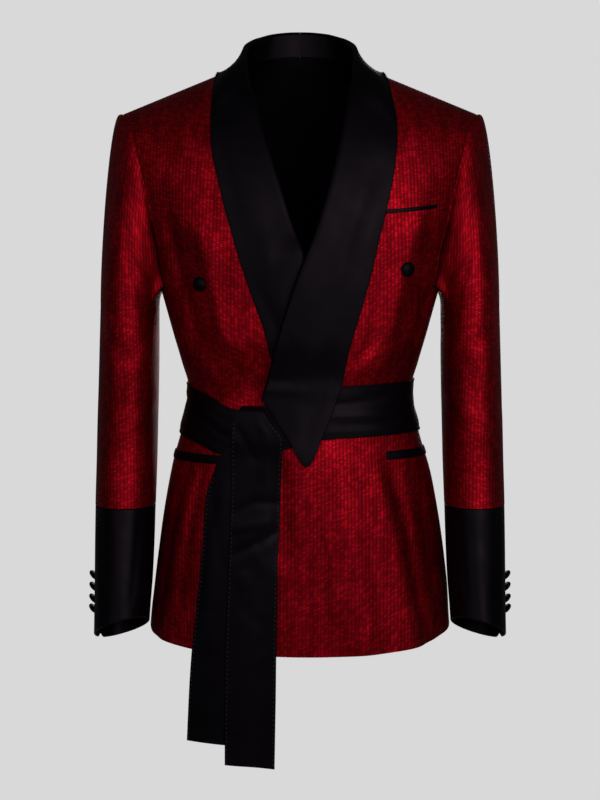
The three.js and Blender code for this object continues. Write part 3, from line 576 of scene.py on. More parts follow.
def body_point(a, z):
    """Point of the body at an angle from the front, 180 at the back, without its folds."""
    a, z = np.broadcast_arrays(np.asarray(a, float), np.asarray(z, float))
    c = np.cos(np.radians(a))
    x = x_of(a, z)
    deep = np.abs(c) ** (2 / ROUND)
    top = shoulder_z(x)
    t = np.clip((z - ARM_Z) / (top - ARM_Z), 0, 1)
    ahead = -front_deep(z) * deep * np.sqrt(1 - t ** CHEST_ROUND)
    neck_z, neck_y = neck_top(x)
    over_neck = np.abs(x) < NECK_X
    top = np.where(over_neck, neck_z, top)
    y_top = np.where(over_neck, neck_y, 0)
    t = np.clip((z - ARM_Z) / (top - ARM_Z), 0, 1)
    soft = mix(1, 0.5, smooth(np.abs(x) / NECK_X))
    behind = y_top + (back_deep(z) * deep - y_top) * (1 - t ** YOKE_ROUND) ** soft
    behind = np.where(z > ARM_Z, behind, back_deep(z) * deep)
    return np.stack([x, np.where(c >= 0, ahead, behind), z], -1)


def outward(a, z):
    """Normal of the body's surface."""
    across = body_point(a + 0.4, z) - body_point(a - 0.4, z)
    up = body_point(a, z + 0.6) - body_point(a, z - 0.6)
    return unit(np.cross(across, up))


def layer(a, z, out):
    """Body surface at an angle and height, moved out by a layer's height."""
    return body_point(a, z) + outward(a, z) * np.asarray(out + fold_at(a, z))[..., None]


def layer_at_x(x, z, out):
    return layer(angle_of(x, z), z, out)


def hem_z(a):
    c = np.cos(np.radians(a))
    return HEM_Z - np.where(c > 0, HEM_DROP_FRONT, HEM_DROP_BACK) * c


def sink_at(x, z):
    """How far the wearer's right front lies under the left front."""
    cover = smooth((x - edge_left(z) + 46) / 44)
    deep = mix(UNDERLAP_SINK_SKIRT, UNDERLAP_SINK, smooth((z + 450) / 50))
    return np.where(z < -180, deep * cover * smooth((-180 - z) / 40), 0)


def rib_height(u):
    return RIB_HIGH * (0.5 + 0.5 * np.cos(2 * np.pi * u / RIB))


def linked(name, data):
    obj = bpy.data.objects.new(name, data)
    bpy.context.scene.collection.objects.link(obj)
    return obj


def make(name, points, faces, uv, sharp=50):
    """Object of a mesh in millimetres, with one UV point for each vertex."""
    mesh = bpy.data.meshes.new(name)
    mesh.from_pydata((np.asarray(points) * MM).tolist(), [], faces)
    mesh.update()
    loops = np.zeros(len(mesh.loops), int)
    mesh.loops.foreach_get("vertex_index", loops)
    coords = mesh.uv_layers.new(name="UVMap")
    coords.data.foreach_set("uv", np.asarray(uv, float)[loops].astype(np.float32).ravel())
    mesh.shade_smooth()
    mesh.set_sharp_from_angle(angle=math.radians(sharp))
    return linked(name, mesh)


def grid_faces(index):
    """Faces of a grid of vertex numbers, without the corners that fall together."""
    corners = np.stack([index[:-1, :-1], index[:-1, 1:], index[1:, 1:], index[1:, :-1]], -1)
    faces = []
    for quad in corners.reshape(-1, 4).tolist():
        ring = [v for i, v in enumerate(quad) if v != quad[i - 1]]
        if len(ring) > 2:
            faces.append(ring)
    return faces


def turned_out(points, faces, normals):
    """The faces, reversed where most of them look against the given normals."""
    total = 0
    for face in faces[:: max(1, len(faces) // 400)]:
        p = points[face[:3]]
        total += np.dot(np.cross(p[1] - p[0], p[2] - p[0]), normals[face[0]])
    return [face[::-1] for face in faces] if total < 0 else faces


def dress(obj, nodes, material):
    """The piece takes the place of its nodes in the jacket."""
    obj.data.materials.append(material)
    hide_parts(*nodes)
    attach(obj, "root")
    return obj


# Width, length and area of each piece as cut flat, in metres, by the name of its object.
FLAT = {}


def flat_rows(rows):
    """Flat size of a panel from the widths of its rows and the way down it."""
    wide = np.array([row["to"] - row["from"] for row in rows]) * MM
    down = np.array([row["down"] for row in rows]) * MM
    area = ((wide[1:] + wide[:-1]) / 2 * np.diff(down)).sum()
    return wide.max(), down[-1] - down[0], area


def flat_grid(grid):
    """Flat size of a sheet from its grid of points."""
    across, along_it = np.diff(grid, axis=1) * MM, np.diff(grid, axis=0) * MM
    area = np.linalg.norm(np.cross(across[:-1], along_it[:, :-1]), axis=2).sum()
    wide, long = np.linalg.norm(across, axis=2).sum(1), np.linalg.norm(along_it, axis=2).sum(0)
    return wide.max(), long.max(), area


# Panels of the ribbed cloth.


def cut_rows(rows, pitch):
    """Grid of points at every pitch along the rib coordinate, cut off at both ends of each row."""
    first = math.floor(min(row["from"] for row in rows) / pitch)
    last = math.ceil(max(row["to"] for row in rows) / pitch)
    columns = np.arange(first, last + 1) * pitch
    index = np.zeros((len(rows), len(columns)), int)
    kept = []
    count = 0
    for r, row in enumerate(rows):
        low, high = row["from"], row["to"]
        within = (columns > low + 0.2 * pitch) & (columns < high - 0.2 * pitch)
        u = np.concatenate([[low], columns[within], [high]])
        place = np.where(columns < (low + high) / 2, 0, len(u) - 1)
        place[within] = np.arange(1, len(u) - 1)
        index[r] = count + place
        end = np.zeros(len(u))
        end[0], end[-1] = -1, 1
        p = np.interp(u, row["u"], row["p"])
        q = np.interp(u, row["u"], row["q"])
        kept.append(np.stack([u, p, q, end, np.full(len(u), row["down"])], -1))
        count += len(u)
    return index, np.concatenate(kept)


def border(index):
    """Vertex numbers round the edge of a grid, each once."""
    ring = [*index[0], *index[1:, -1], *index[-1, ::-1], *index[::-1, 0]]
    return [v for i, v in enumerate(ring) if v != ring[i - 1]]


def panel(name, rows, place):
    """Outer face of a cloth panel with its ribs and turned edges, and its plain inside."""
    index, data = cut_rows(rows, RIB / RIB_COLUMNS)
    u, p, q, end, down = data.T
    outer = place(p, q, end, rib_height(u))
    under = place(p, q, end, np.zeros(len(u)) - CLOTH - TURN_IN)
    as_cut = grid_faces(index)
    faces = turned_out(outer, as_cut, outer - under)
    ring = border(index)
    if faces is not as_cut:
        ring = ring[::-1]
    start = len(outer)
    rim = np.array([outer[ring], under[ring]]).reshape(-1, 3)
    n = len(ring)
    after = [(i + 1) % n for i in range(n)]
    strips = [[start + i, start + n + i, start + n + k, start + k] for i, k in enumerate(after)]
    points = np.concatenate([outer, rim])
    uv = np.stack([u / RIB, down], -1)
    uv = np.concatenate([uv, uv[ring], uv[ring]])
    obj = make(name + "_cloth", points, faces + strips, uv)
    FLAT[obj.name] = flat_rows(rows)
    dress(obj, [name], ribbed_cloth)
    obj.data.materials.append(lining)
    for polygon in obj.data.polygons[len(faces):]:
        centre = polygon.center / MM
        if centre[2] > NECK_SIDE_Z and abs(centre[0]) < NECK_X and centre[1] > 0:
            polygon.material_index = 1
    index, data = cut_rows(rows[:: 3] + ([rows[-1]] if (len(rows) - 1) % 3 else []), INSIDE_PITCH)
    u, p, q, end, down = data.T
    inner = place(p, q, end, np.zeros(len(u)) - CLOTH)
    behind = place(p, q, end, np.zeros(len(u)) - CLOTH - 1)
    faces = turned_out(inner, grid_faces(index), behind - inner)
    inside = make(name + "_inside", inner, faces, np.stack([u, down], -1) / 10)
    dress(inside, [name], lining)
    return obj, inside


def row_of(p, q, points, edge_p, reference_p, shift, down):
    """One row of a panel. Ribs hang straight, so their coordinate is the level distance along the row."""
    u = run(points[:, :2])
    u = u - np.interp(reference_p, p, u) + shift
    return {"p": p, "q": q, "u": u, "from": np.interp(edge_p, p, u), "to": u[-1], "down": down}


def rise_levels():
    fine = []
    for a, b in zip(RISE[:-1], RISE[1:]):
        fine += [mix(a, b, k / RISE_STEPS) for k in range(RISE_STEPS)]
    return [*fine, 1.0][::-1]


def settle(level, edge, x):
    """Height at which a level line meets an edge."""
    z = level(x)
    for _ in range(30):
        z = mix(z, level(edge(z)), 0.6)
    return z


def rise_level(t, behind):
    """Level line of the body above the armhole's foot, up to the shoulder and the neck behind."""
    def level(x):
        top = shoulder_z(x)
        if behind:
            top = np.where(np.abs(x) < NECK_X, neck_top(x)[0], top)
        return ARM_Z + t * (top - ARM_Z)

    return level


def fall_level(t, turn):
    """Level line of the body below the armhole's foot, down to the hem."""
    def level(x):
        z = ARM_Z + t * (hem_z(turn(0)) - ARM_Z) + 0 * x
        for _ in range(12):
            z = ARM_Z + t * (hem_z(turn(angle_of(x, z))) - ARM_Z)
        return z

    return level


def armhole_reach(t, level):
    return armhole_x(settle(level, armhole_x, 190.0)) if t > 0 else x_of(SIDE_SEAM, ARM_Z)


def body_rows(edge, behind, lean):
    """Rows of a front or back panel, from the shoulder to the hem, on the side of positive x."""
    turn = (lambda a: 180 - a) if behind else (lambda a: a)
    rows = []
    down = 0
    last = None
    levels = [("rise", t) for t in rise_levels()] + [("fall", s) for s in np.linspace(0, 1, FALL_ROWS)[1:]]
    for kind, t in levels:
        if kind == "rise":
            level = rise_level(t, behind)
            x_out = armhole_reach(t, level)
        else:
            level = fall_level(t, turn)
            x_out = x_of(SIDE_SEAM, ARM_Z + t * (hem_z(turn(SIDE_SEAM)) - ARM_Z))
        x_in = edge(settle(level, edge, 70.0))
        xs = np.linspace(min(x_in, 0.0) - 0.01, x_out, 320)
        zs = level(xs)
        points = body_point(turn(angle_of(xs, zs)), zs)
        middle = body_point(turn(angle_of(120.0, level(120.0))), level(120.0))
        down += 0 if last is None else np.linalg.norm(middle - last)
        last = middle
        shift = lean * t * t if kind == "rise" else 0
        rows.append(row_of(xs, zs, points, x_in, 0.0, shift, down))
    return rows


def seam_gap(z):
    """Half of a seam's gap, in degrees round the body."""
    return np.degrees(SEAM / 2 / half(z))


def front_panel(side, name):
    free = edge_left if side > 0 else edge_right

    def edge(z):
        return free(z) + FOLD_EDGE * smooth((z + 430) / 40) * smooth((10 - z) / 30)

    def place(x, z, end, out):
        a = side * angle_of(x, z)
        a = np.where((end > 0) & (z <= ARM_Z + 0.1), a - side * seam_gap(z), a)
        sink = sink_at(x_of(a, z), z) if side < 0 else 0
        points = layer(a, z, out - sink)
        points[:, 1] = np.minimum(points[:, 1], -SEAM / 2)
        return points

    return panel(name, body_rows(edge, False, RIB_LEAN_FRONT), place)


def back_panel(side, name):
    def place(x, z, end, out):
        a = side * (180 - angle_of(x, z))
        a = np.where((end > 0) & (z <= ARM_Z + 0.1), a + side * seam_gap(z), a)
        points = layer(a, z, out)
        points[:, 0] = side * np.maximum(SEAM / 2, side * points[:, 0])
        points[:, 1] = np.maximum(points[:, 1], SEAM / 2)
        return points

    return panel(name, body_rows(lambda z: SEAM / 2 + 0 * z, True, RIB_LEAN_BACK), place)


def side_panel(side, name):
    rows = []
    for share in np.linspace(0, 1, FALL_ROWS):
        k = np.linspace(0, 1, 160)
        a = mix(SIDE_SEAM, 180 - SIDE_SEAM, k)
        dip = -(UNDERARM_DIP + 1) * np.sin(np.pi * k) * max(0, 1 - share / 0.1)
        z = ARM_Z + dip + share * (hem_z(a) - ARM_Z)
        rows.append(row_of(a, z, body_point(a, z), SIDE_SEAM, 90.0, 0, share * SIDE_LONG))

    def place(a, z, end, out):
        return layer(side * (a - end * seam_gap(z)), z, out)

    return panel(name, rows, place)


# Sleeves.


def armhole_loop():
    """Armhole edge of the wearer's left: points by angle from the top through the front."""
    z = mix(ARMHOLE["z"][0] - 0.6, ARM_Z, np.linspace(0, 1, 41))
    a = angle_of(armhole_x(z), z)
    k = np.arange(1, 12) / 12
    under = layer(mix(SIDE_SEAM, 180 - SIDE_SEAM, k), ARM_Z - UNDERARM_DIP * np.sin(np.pi * k), 0)
    points = np.concatenate([layer(a, z, 0), layer(180 - a, z, 0), under])
    angle = np.degrees(np.arctan2(-points[:, 1] / 66, (points[:, 2] + 160) / 111)) % 360
    order = np.argsort(angle)
    return angle[order], points[order]


LOOP_ANGLES, LOOP_POINTS = armhole_loop()


def tube_point(angle, z):
    c, s = np.cos(np.radians(angle)), np.sin(np.radians(angle))
    wide = (sleeve_outer(z) - sleeve_inner(z)) / 2
    x = (sleeve_outer(z) + sleeve_inner(z)) / 2 + wide * power(c, 2 / SLEEVE_ROUND)
    y = sleeve_mid(z) - sleeve_deep(z) * power(s, 2 / SLEEVE_ROUND)
    return np.stack([x, y, z + 0 * x], -1)


def sleeve_point(angle, v):
    """Sleeve surface: v from 0 to 1 over the head, to 2 at the cuff seam, to 3 at the cuff's edge."""
    angle, v = np.broadcast_arrays(np.asarray(angle, float), np.asarray(v, float))
    end = tube_point(angle, CUFF_END_Z + 0 * angle)
    tilt = CUFF_TILT_OUT * (end[..., 0] - 220)
    tilt = tilt + CUFF_TILT_BACK * (end[..., 1] - sleeve_mid(CUFF_END_Z))
    t = np.maximum(0, v - 2)
    level = np.where(v <= 2, mix(TUBE_TOP, CUFF_SEAM_Z, v - 1), mix(CUFF_SEAM_Z, CUFF_END_Z, t))
    low = tube_point(angle, level - tilt * t)
    c = np.cos(np.radians(angle))
    start = read(angle, LOOP_ANGLES, LOOP_POINTS, period=360)
    start[..., 0] += SEAM + HEAD_EASE * c ** 2
    to = tube_point(angle, TUBE_TOP + 0 * angle)
    far = np.linalg.norm(start - to, axis=-1)
    s = 1 - v
    head = start * ((1 + 2 * v) * s * s)[..., None] + to * (v * v * (3 - 2 * v))[..., None]
    puff = HEAD_PUFF * (0.5 + 0.5 * c) * (1 - np.exp(-v / 0.03)) * s * s
    head[..., 0] += np.minimum(42, 0.35 * far) * v * s * s + 1.5 * puff
    head[..., 2] += far * v * v * s + 0.25 * puff
    return np.where((v >= 1)[..., None], low, head)


def sleeve_creases(rows, side, angle, v):
    """Creases of one side's sleeve or cuff."""
    own = {name: rows[name][rows["side"] == side] for name in list(rows)[1:]}
    return creases(own, angle % 360, v, SLEEVE_AROUND, SLEEVE_ALONG)


def sleeve_layer(angle, v, out):
    dv = np.where(v < 0.02, 0.01, 0.004)
    across = sleeve_point(angle + 1, v) - sleeve_point(angle - 1, v)
    down = sleeve_point(angle, v + dv) - sleeve_point(angle, np.maximum(0, v - dv))
    return sleeve_point(angle, v) + unit(np.cross(across, down)) * np.asarray(out)[..., None]


def back_seam(v):
    return mix(BACK_SEAM_TOP, BACK_SEAM_CUFF, np.minimum(1, v / 2.2))


# Where the ribs meet the armhole: distance round the sleeve by angle from the top of the armhole.
HEAD_RIBS = table("angle u", """
0 0
15 24
30 50
45 76
60 94
75 107
90 119
110 134
135 149
160 162
180 171
""")

TUBE_ANGLES = np.linspace(0, 180, 181)
TUBE_ARC = run(tube_point(TUBE_ANGLES, TUBE_TOP))


def rib_place(angle, v):
    """Distance of the ribs round the sleeve from its top line, so that they hang from the armhole."""
    turned = np.where(angle < 0, -angle, np.where(angle > 180, 360 - angle, angle))
    share = v * v * (3 - 2 * v) + 1.3 * v * (1 - v) ** 2
    at_armhole = np.interp(turned, HEAD_RIBS["angle"], HEAD_RIBS["u"])
    half_way = mix(at_armhole, np.interp(turned, TUBE_ANGLES, TUBE_ARC), share)
    full = mix(HEAD_RIBS["u"][-1], TUBE_ARC[-1], share)
    return np.where(angle < 0, -half_way, np.where(angle > 180, 2 * full - half_way, half_way))


# Half of a seam's gap in degrees round the sleeve, the hollow beside the armhole, and the tucked top row.
SLEEVE_GAP = math.degrees(SEAM / 2 / 52)
HOLLOW_ANGLE = 116
HOLLOW_WIDE = 44
HOLLOW_DEEP = 13
TUCK_DEEP = 2.0
TUCK_IN = 3.0
SLEEVE_LEVELS = np.concatenate([
    [-0.01, 0, 0.008, 0.018, 0.03, 0.045],
    np.linspace(0.06, 1, 40),
    np.linspace(1, 1.998, 44)[1:],
])


def sleeve_panel(side, name, under):
    rows = []
    down = 0
    last = None
    for v in SLEEVE_LEVELS:
        start = INNER_SEAM if under else back_seam(v) - 360
        stop = back_seam(v) if under else INNER_SEAM
        a = np.linspace(min(start, 0.0), stop - SLEEVE_GAP, 360)
        points = sleeve_point(a, max(0, v) + 0 * a)
        middle = sleeve_point(30.0, max(0, v))
        down += 0 if last is None else np.linalg.norm(middle - last)
        last = middle
        row = row_of(a, v + 0 * a, points, start + SLEEVE_GAP, 0.0, 0, down)
        if v < 1:
            row["u"] = rib_place(a, max(0, v))
            row["from"], row["to"] = np.interp(start + SLEEVE_GAP, a, row["u"]), row["u"][-1]
        rows.append(row)

    def place(a, v, end, out):
        tucked = v < 0
        v = np.maximum(0, v)
        around = (a - HOLLOW_ANGLE) / HOLLOW_WIDE
        fade = (1 - np.exp(-v / 0.012)) * np.exp(-v / 0.085)
        hollow = HOLLOW_DEEP * np.exp(-around * around) * fade
        out = out - TUCK_DEEP * tucked - hollow + sleeve_creases(SLEEVE_CREASES, side, a, v)
        points = sleeve_layer(a, v, out)
        points[:, 0] -= TUCK_IN * tucked
        points[:, 0] *= side
        return points

    return panel(name, rows, place)


# Satin.

# Distances of the first rows of points from a turned edge, and of the first one on the flat.
EDGE_STEPS = np.array([0, 0.18, 0.45, 0.8])
EDGE_FLAT = 1.3


def edge_shares(wide):
    """Shares across a band for its rows of points, closer at both edges."""
    near = EDGE_STEPS / wide
    flat = EDGE_FLAT / wide
    return np.concatenate([near, np.linspace(flat, 1 - flat, 22), 1 - near[::-1]])


def edge_roll(away, thick):
    """How far a face bends in towards the middle of the cloth near a turned edge."""
    t = 1 - np.clip(away / 1.0, 0, 1)
    return thick / 2 * (1 - np.sqrt(np.maximum(0, 1 - t * t)))


def wall(name, outer, inner, uv):
    """Closed sheet from two grids of points, the outer face first."""
    shift = outer.shape[0] * outer.shape[1]
    index = np.arange(shift).reshape(outer.shape[:2])
    points = np.concatenate([outer.reshape(-1, 3), inner.reshape(-1, 3)])
    faces = grid_faces(index)
    faces += [[v + shift for v in face[::-1]] for face in faces]
    ring = [int(v) for v in border(index)]
    for a, b in zip(ring, ring[1:] + ring[:1]):
        faces.append([a + shift, b + shift, b, a])
    middle = (outer - inner).reshape(-1, 3)
    faces = turned_out(points, faces, np.concatenate([middle, -middle]))
    grid = np.asarray(uv, float).reshape(-1, 2)
    FLAT[name] = flat_grid(outer)
    return make(name, points, faces, np.concatenate([grid, grid]), 60)


def shawl_rows(rows, side):
    """Fold line and outer edge of one side's collar and lapel, in place."""
    on_front = rows["ry"] == ON_FRONT
    rx, ex, rz, ez = side * rows["rx"], side * rows["ex"], rows["rz"], rows["ez"]
    ry = np.where(on_front, layer_at_x(rx, rz, 0.8)[:, 1], rows["ry"])
    over_body = layer_at_x(ex, ez, LAPEL_OUT)
    behind = layer(180 - angle_of(ex, ez), ez, LAPEL_OUT + COLLAR_EASE)
    edge = np.stack([ex, rows["ey"], ez], -1)
    edge = np.where((rows["ey"] == ON_FRONT)[:, None], over_body, edge)
    edge = np.where((rows["ey"] == ON_BACK)[:, None], behind, edge)
    edge[on_front, 0] = ex[on_front]
    edge[on_front, 2] = ez[on_front]
    return np.column_stack([rx, ry, rz, edge, np.where(on_front, 0.0, 1.0), rows["swell"]])


def along(rows, u):
    """Smooth curve through the rows of an array, at positions counted in rows."""
    u = np.asarray(u, float)
    i = np.minimum(len(rows) - 2, np.floor(u).astype(int))
    t = (u - i)[:, None]
    p, q, r, s = (rows[np.clip(i + k, 0, len(rows) - 1)] for k in (-1, 0, 1, 2))
    a, b = 2 * q, r - p
    c, d = 2 * p - 5 * q + 4 * r - s, -p + 3 * q - 3 * r + s
    return 0.5 * (a + b * t + c * t * t + d * t * t * t)


def fold_frame(rows, u):
    row = along(rows, u)
    before = along(rows, np.maximum(0, u - 0.2))
    after = along(rows, np.minimum(len(rows) - 1, u + 0.2))
    fold, edge = row[:, 0:3], row[:, 3:6]
    tangent = after[:, 0:3] - before[:, 0:3]
    tangent[u >= len(rows) - 1] = [-np.sign(before[-1, 0]), 0, 0]
    width = np.linalg.norm(edge - fold, axis=1)
    across = unit(edge - fold)
    normal = unit(np.cross(across, tangent))
    outer = np.stack([edge[:, 0], edge[:, 1] - 10, np.full(len(row), 30.0)], -1)
    normal = np.where((np.sum(normal * outer, 1) < 0)[:, None], -normal, normal)
    return row, fold, edge, width, across, normal


def shawl_place(rows, side, u, away, high, s, creased=True):
    """Points of the lapel at a distance across from the fold and a height over the cloth."""
    row, fold, _, width, across, normal = fold_frame(rows, u)
    t = away / np.maximum(width, 1)[:, None]
    x = row[:, 0:1] + (row[:, 3:4] - row[:, 0:1]) * t
    z = row[:, 2:3] + (row[:, 5:6] - row[:, 2:3]) * t
    if side > 0:
        lift = (LAPEL_OVER_BELT - LAPEL_OUT) * smooth((-371 - z) / 13)
    else:
        lift = -sink_at(x, z)
    soft = smooth(s * 4) * smooth((1 - s) * 4) if creased else 0
    front = layer_at_x(x, z, high + lift + soft * creases(LAPEL_CREASES, x, z))
    bulge = row[:, 7:8] * 4 * s * (1 - s) - 0.8 * (1 - s) - LAPEL_OUT * s
    free = fold[:, None] + across[:, None] * away[..., None] + normal[:, None] * (high + bulge)[..., None]
    k = np.clip(row[:, 6], 0, 1)[:, None, None]
    return front * (1 - k) + free * k


def shawl_levels(rows):
    last = len(rows) - 1
    return np.concatenate([np.arange(0, 3, 0.125), np.arange(3, last, 0.2), [last]])


def lapel_press(rows, side, u, width):
    """How far the pressed outer edge lies below the rest of the lapel, above the belt."""
    level = shawl_place(rows, side, u, width, LAPEL_OUT + 0 * width, 1 + 0 * width, False)[..., 2]
    return LAPEL_PRESS * smooth((level + 365) / 50)


def shawl_panel(cut, side, name):
    rows = shawl_rows(cut, side)
    u = shawl_levels(rows)
    last = len(rows) - 1
    width = fold_frame(rows, u)[3][:, None]
    hooks = []
    for across, high in (("across", "high"), ("acrossIn", "highIn")):
        corner = np.column_stack([FOLD_HOOK[across], FOLD_HOOK[high]])
        after = [[corner[-1, 0] * 2 - 2.6, corner[-1, 1]]]
        hooks.append(along(np.concatenate([corner, after]), np.linspace(0, 3, 10)))
    share = np.linspace(0, 1, 26)[1:]
    start = FOLD_HOOK["across"][-1]
    body = start + (width - EDGE_FLAT - start) * share
    away = np.concatenate([body, width - EDGE_STEPS[::-1]], 1)
    s = np.clip((away - start) / (width - start), 0, 1)
    press = lapel_press(rows, side, u, width) * smooth((s - 0.5) * 2)
    faces = []
    for face, thick in enumerate((0, SATIN)):
        roll = edge_roll(width - away, SATIN)
        high = mix(LAPEL_ROLL, LAPEL_OUT, s) - thick + (roll if thick else -roll) - press
        hook_away, hook_high = (np.repeat(hooks[face][None, :, k], len(u), 0) for k in (0, 1))
        pairs = ((hook_away, away), (hook_high, high), (0 * hook_away, s))
        points = shawl_place(rows, side, u, *(np.concatenate(pair, 1) for pair in pairs))
        points[u >= last, :, 0] = side * COLLAR_SEAM
        faces.append(points)
    line = run(faces[0][:, 9])
    return satin_wall(name, *faces, line[:, None] / 10, np.arange(faces[0].shape[1]) / 4)


def satin_wall(name, outer, inner, u, v):
    """Wall of satin, with its UV from columns and rows of numbers."""
    uv = np.stack(np.broadcast_arrays(u, v), -1)
    return dress(wall(name + "_satin", outer, inner, uv), [name], satin)


def stand_sheet():
    rows = shawl_rows(SHAWL_LEFT, 1)
    last = len(rows) - 1
    u = np.linspace(STAND_FIRST, last, 61)
    _, fold, _, _, across, normal = fold_frame(rows, u)
    stand = np.column_stack([STAND["x"], STAND["y"], STAND["z"]])
    low = along(stand, (u - STAND_FIRST) * (len(stand) - 1) / (last - STAND_FIRST))
    top = fold + across * STAND_ACROSS - normal * STAND_UNDER
    top[-1, 0] = 0
    t = np.linspace(0, 1, 9)[None, :, None]
    left = mix(low[:, None], top[:, None], t)
    right = left[:-1][::-1] * [-1, 1, 1]
    grid = np.concatenate([left, right])
    normals = unit(np.cross(np.gradient(grid, axis=1), np.gradient(grid, axis=0)))
    lift = normals * SATIN / 2
    u, v = np.arange(len(grid))[:, None] / 3, np.arange(9) / 3
    return satin_wall("collar_stand", grid - lift, grid + lift, u, v)


belt_top, belt_low = curve(BELT, "top", "a"), curve(BELT, "low", "a")


def belt_at(a, t, out):
    z = mix(belt_top(a), belt_low(a), t)
    crease = creases(BELT_CREASES, a, t, BELT_AROUND, BELT_WIDE)
    soft = smooth(t * 8) * smooth((1 - t) * 8)
    press = BELT_PRESS * (1 - smooth(np.minimum(t, 1 - t) * 6))
    return layer(a, z, out + crease * soft - press)


def belt_band():
    a = np.linspace(BELT["a"][0], BELT["a"][-1], 280)[:, None]
    t = edge_shares(BELT_WIDE)[None, :]
    roll = edge_roll(np.minimum(t, 1 - t) * BELT_WIDE, SATIN)
    outer = belt_at(a, t, BELT_OUT - roll)
    inner = belt_at(a, t, BELT_OUT - SATIN + roll)
    return satin_wall("belt_band", outer, inner, a / 4, t * 6)


def tail_place(rows, slant, lines, z, t, lift=0):
    """Outer face of a hanging tail at heights z and shares t across it."""
    x1, x2, off = (curve(rows, name)(z) for name in ("x1", "x2", "off"))
    last = rows["z"][-1]
    drop = slant * t * smooth((z - TAIL_SLANT_Z) / (last - TAIL_SLANT_Z)) * (z < TAIL_SLANT_Z)
    crease = creases(lines, t, z, TAIL_WIDE)
    return layer_at_x(mix(x1, x2, t), z + drop, off + crease + lift)


def tail(name, rows, slant, lines):
    top, last = rows["z"][0], rows["z"][-1]
    steps = max(40, int((top - last) / 4))
    z = np.linspace(top, last, steps)
    close = z[0] - np.array([0, 0.6, 1.3, 2.2, 3.3, 4.6, 6.2, 8, 10, 12.5])
    low = last + np.array([*EDGE_STEPS[1:], EDGE_FLAT])
    z = np.unique(np.concatenate([z[z < close[-1] - 2], close, low]))[::-1, None]
    t = edge_shares(TAIL_WIDE)[None, :]
    away = np.minimum(np.minimum(t, 1 - t) * TAIL_WIDE, z - last)
    roll = edge_roll(away, TAIL_SATIN)
    outer = tail_place(rows, slant, lines, z, t)
    normals = unit(np.cross(np.gradient(outer, axis=1), np.gradient(outer, axis=0)))
    normals = np.where(normals[..., 1:2] > 0, -normals, normals)
    inner = outer - normals * (TAIL_SATIN - roll)[..., None]
    outer = outer - normals * roll[..., None]
    return satin_wall(name, outer, inner, z / 10, t * 6)


def ball_faces(rings, cols):
    """Faces of stacked rings closed by one point below and one above."""
    index = np.arange(rings * cols).reshape(rings, cols)
    faces = grid_faces(np.concatenate([index, index[:, :1]], 1))
    below, above = rings * cols, rings * cols + 1
    for c in range(cols):
        n = (c + 1) % cols
        faces.append([below, n, c])
        faces.append([above, below - cols + c, below - cols + n])
    return faces


def knot_lump():
    rows, cols, full = 26, 60, KNOT["power"]
    centre = layer_at_x(KNOT["x"], KNOT["z"], KNOT["off"])
    n = outward(angle_of(KNOT["x"], KNOT["z"]), KNOT["z"])
    side = -unit(np.cross([0, 0, 1], n))
    up = -unit(np.cross(n, side))
    lat = np.pi * (np.arange(1, rows) / rows - 0.5)[:, None]
    lon = 2 * np.pi * (np.arange(cols) / cols)[None, :]
    x = KNOT["halfWide"] * power(np.cos(lat), full) * power(np.cos(lon), full)
    z = KNOT["halfHigh"] * power(np.sin(lat), full) + 0 * lon
    y = KNOT["halfDeep"] * power(np.cos(lat), full) * power(np.sin(lon), full)
    pleat = 0.7 * np.sin(0.55 * (z + 0.5 * x)) * np.cos(lat) ** 0.5
    y = y + np.sign(y) * np.minimum(np.abs(y) / 4, 1) * pleat
    points = centre + x[..., None] * side + z[..., None] * up + y[..., None] * n
    poles = [centre - up * KNOT["halfHigh"], centre + up * KNOT["halfHigh"]]
    points = np.concatenate([points.reshape(-1, 3), poles])
    uv = np.concatenate([np.stack([x, z], -1).reshape(-1, 2) / 10, [[0, -2], [0, 2]]])
    faces = turned_out(points, ball_faces(rows - 1, cols), points - centre)
    return dress(make("belt_knot_satin", points, faces, uv), ["belt_knot"], satin)


def strip(name, a1, z1, a2, z2, high, out, thick):
    """Rounded band of satin lying on the body between two points."""
    s = np.linspace(0, 1, 60)[None, :]
    across = np.linspace(0.5, -0.5, 13)[:, None]
    a, z = mix(a1, a2, s), mix(z1, z2, s) + high * across
    crown = 1 - np.abs(2 * across) ** 3
    ends = np.sqrt(np.clip(np.minimum(s, 1 - s) * 60, 0, 1))
    outer = layer(a, z, out - thick * 0.35 * (1 - crown * ends))
    inner = layer(a, z, out - thick + 0 * s)
    return satin_wall(name, outer, inner, s * 8, across)


def turned(name, centre, axis, profile, cols):
    """Turned solid about an axis, from pairs of radius and height, with fine pleats toward its rim."""
    w1 = unit(np.cross([0, 0, 1], axis))
    w2 = unit(np.cross(axis, w1))
    angle = 2 * np.pi * np.arange(cols) / cols
    rings = profile[1:-1]
    outmost = max(r for r, _ in profile)
    points = []
    for radius, height in rings:
        wave = 1 + BUTTON_PLEATS * np.sin(angle * 9 + height) * (radius / outmost) ** 2
        line = centre + axis * height + (radius * wave * np.cos(angle))[:, None] * w1
        points.append(line + (radius * wave * np.sin(angle))[:, None] * w2)
    points = np.concatenate([*points, [centre + axis * profile[0][1], centre + axis * profile[-1][1]]])
    faces = turned_out(points, ball_faces(len(rings), cols), points - centre)
    uv = np.stack([(points - centre) @ w1, (points - centre) @ w2], -1) / 10
    return dress(make(name + "_satin", points, faces, uv), [name], satin)


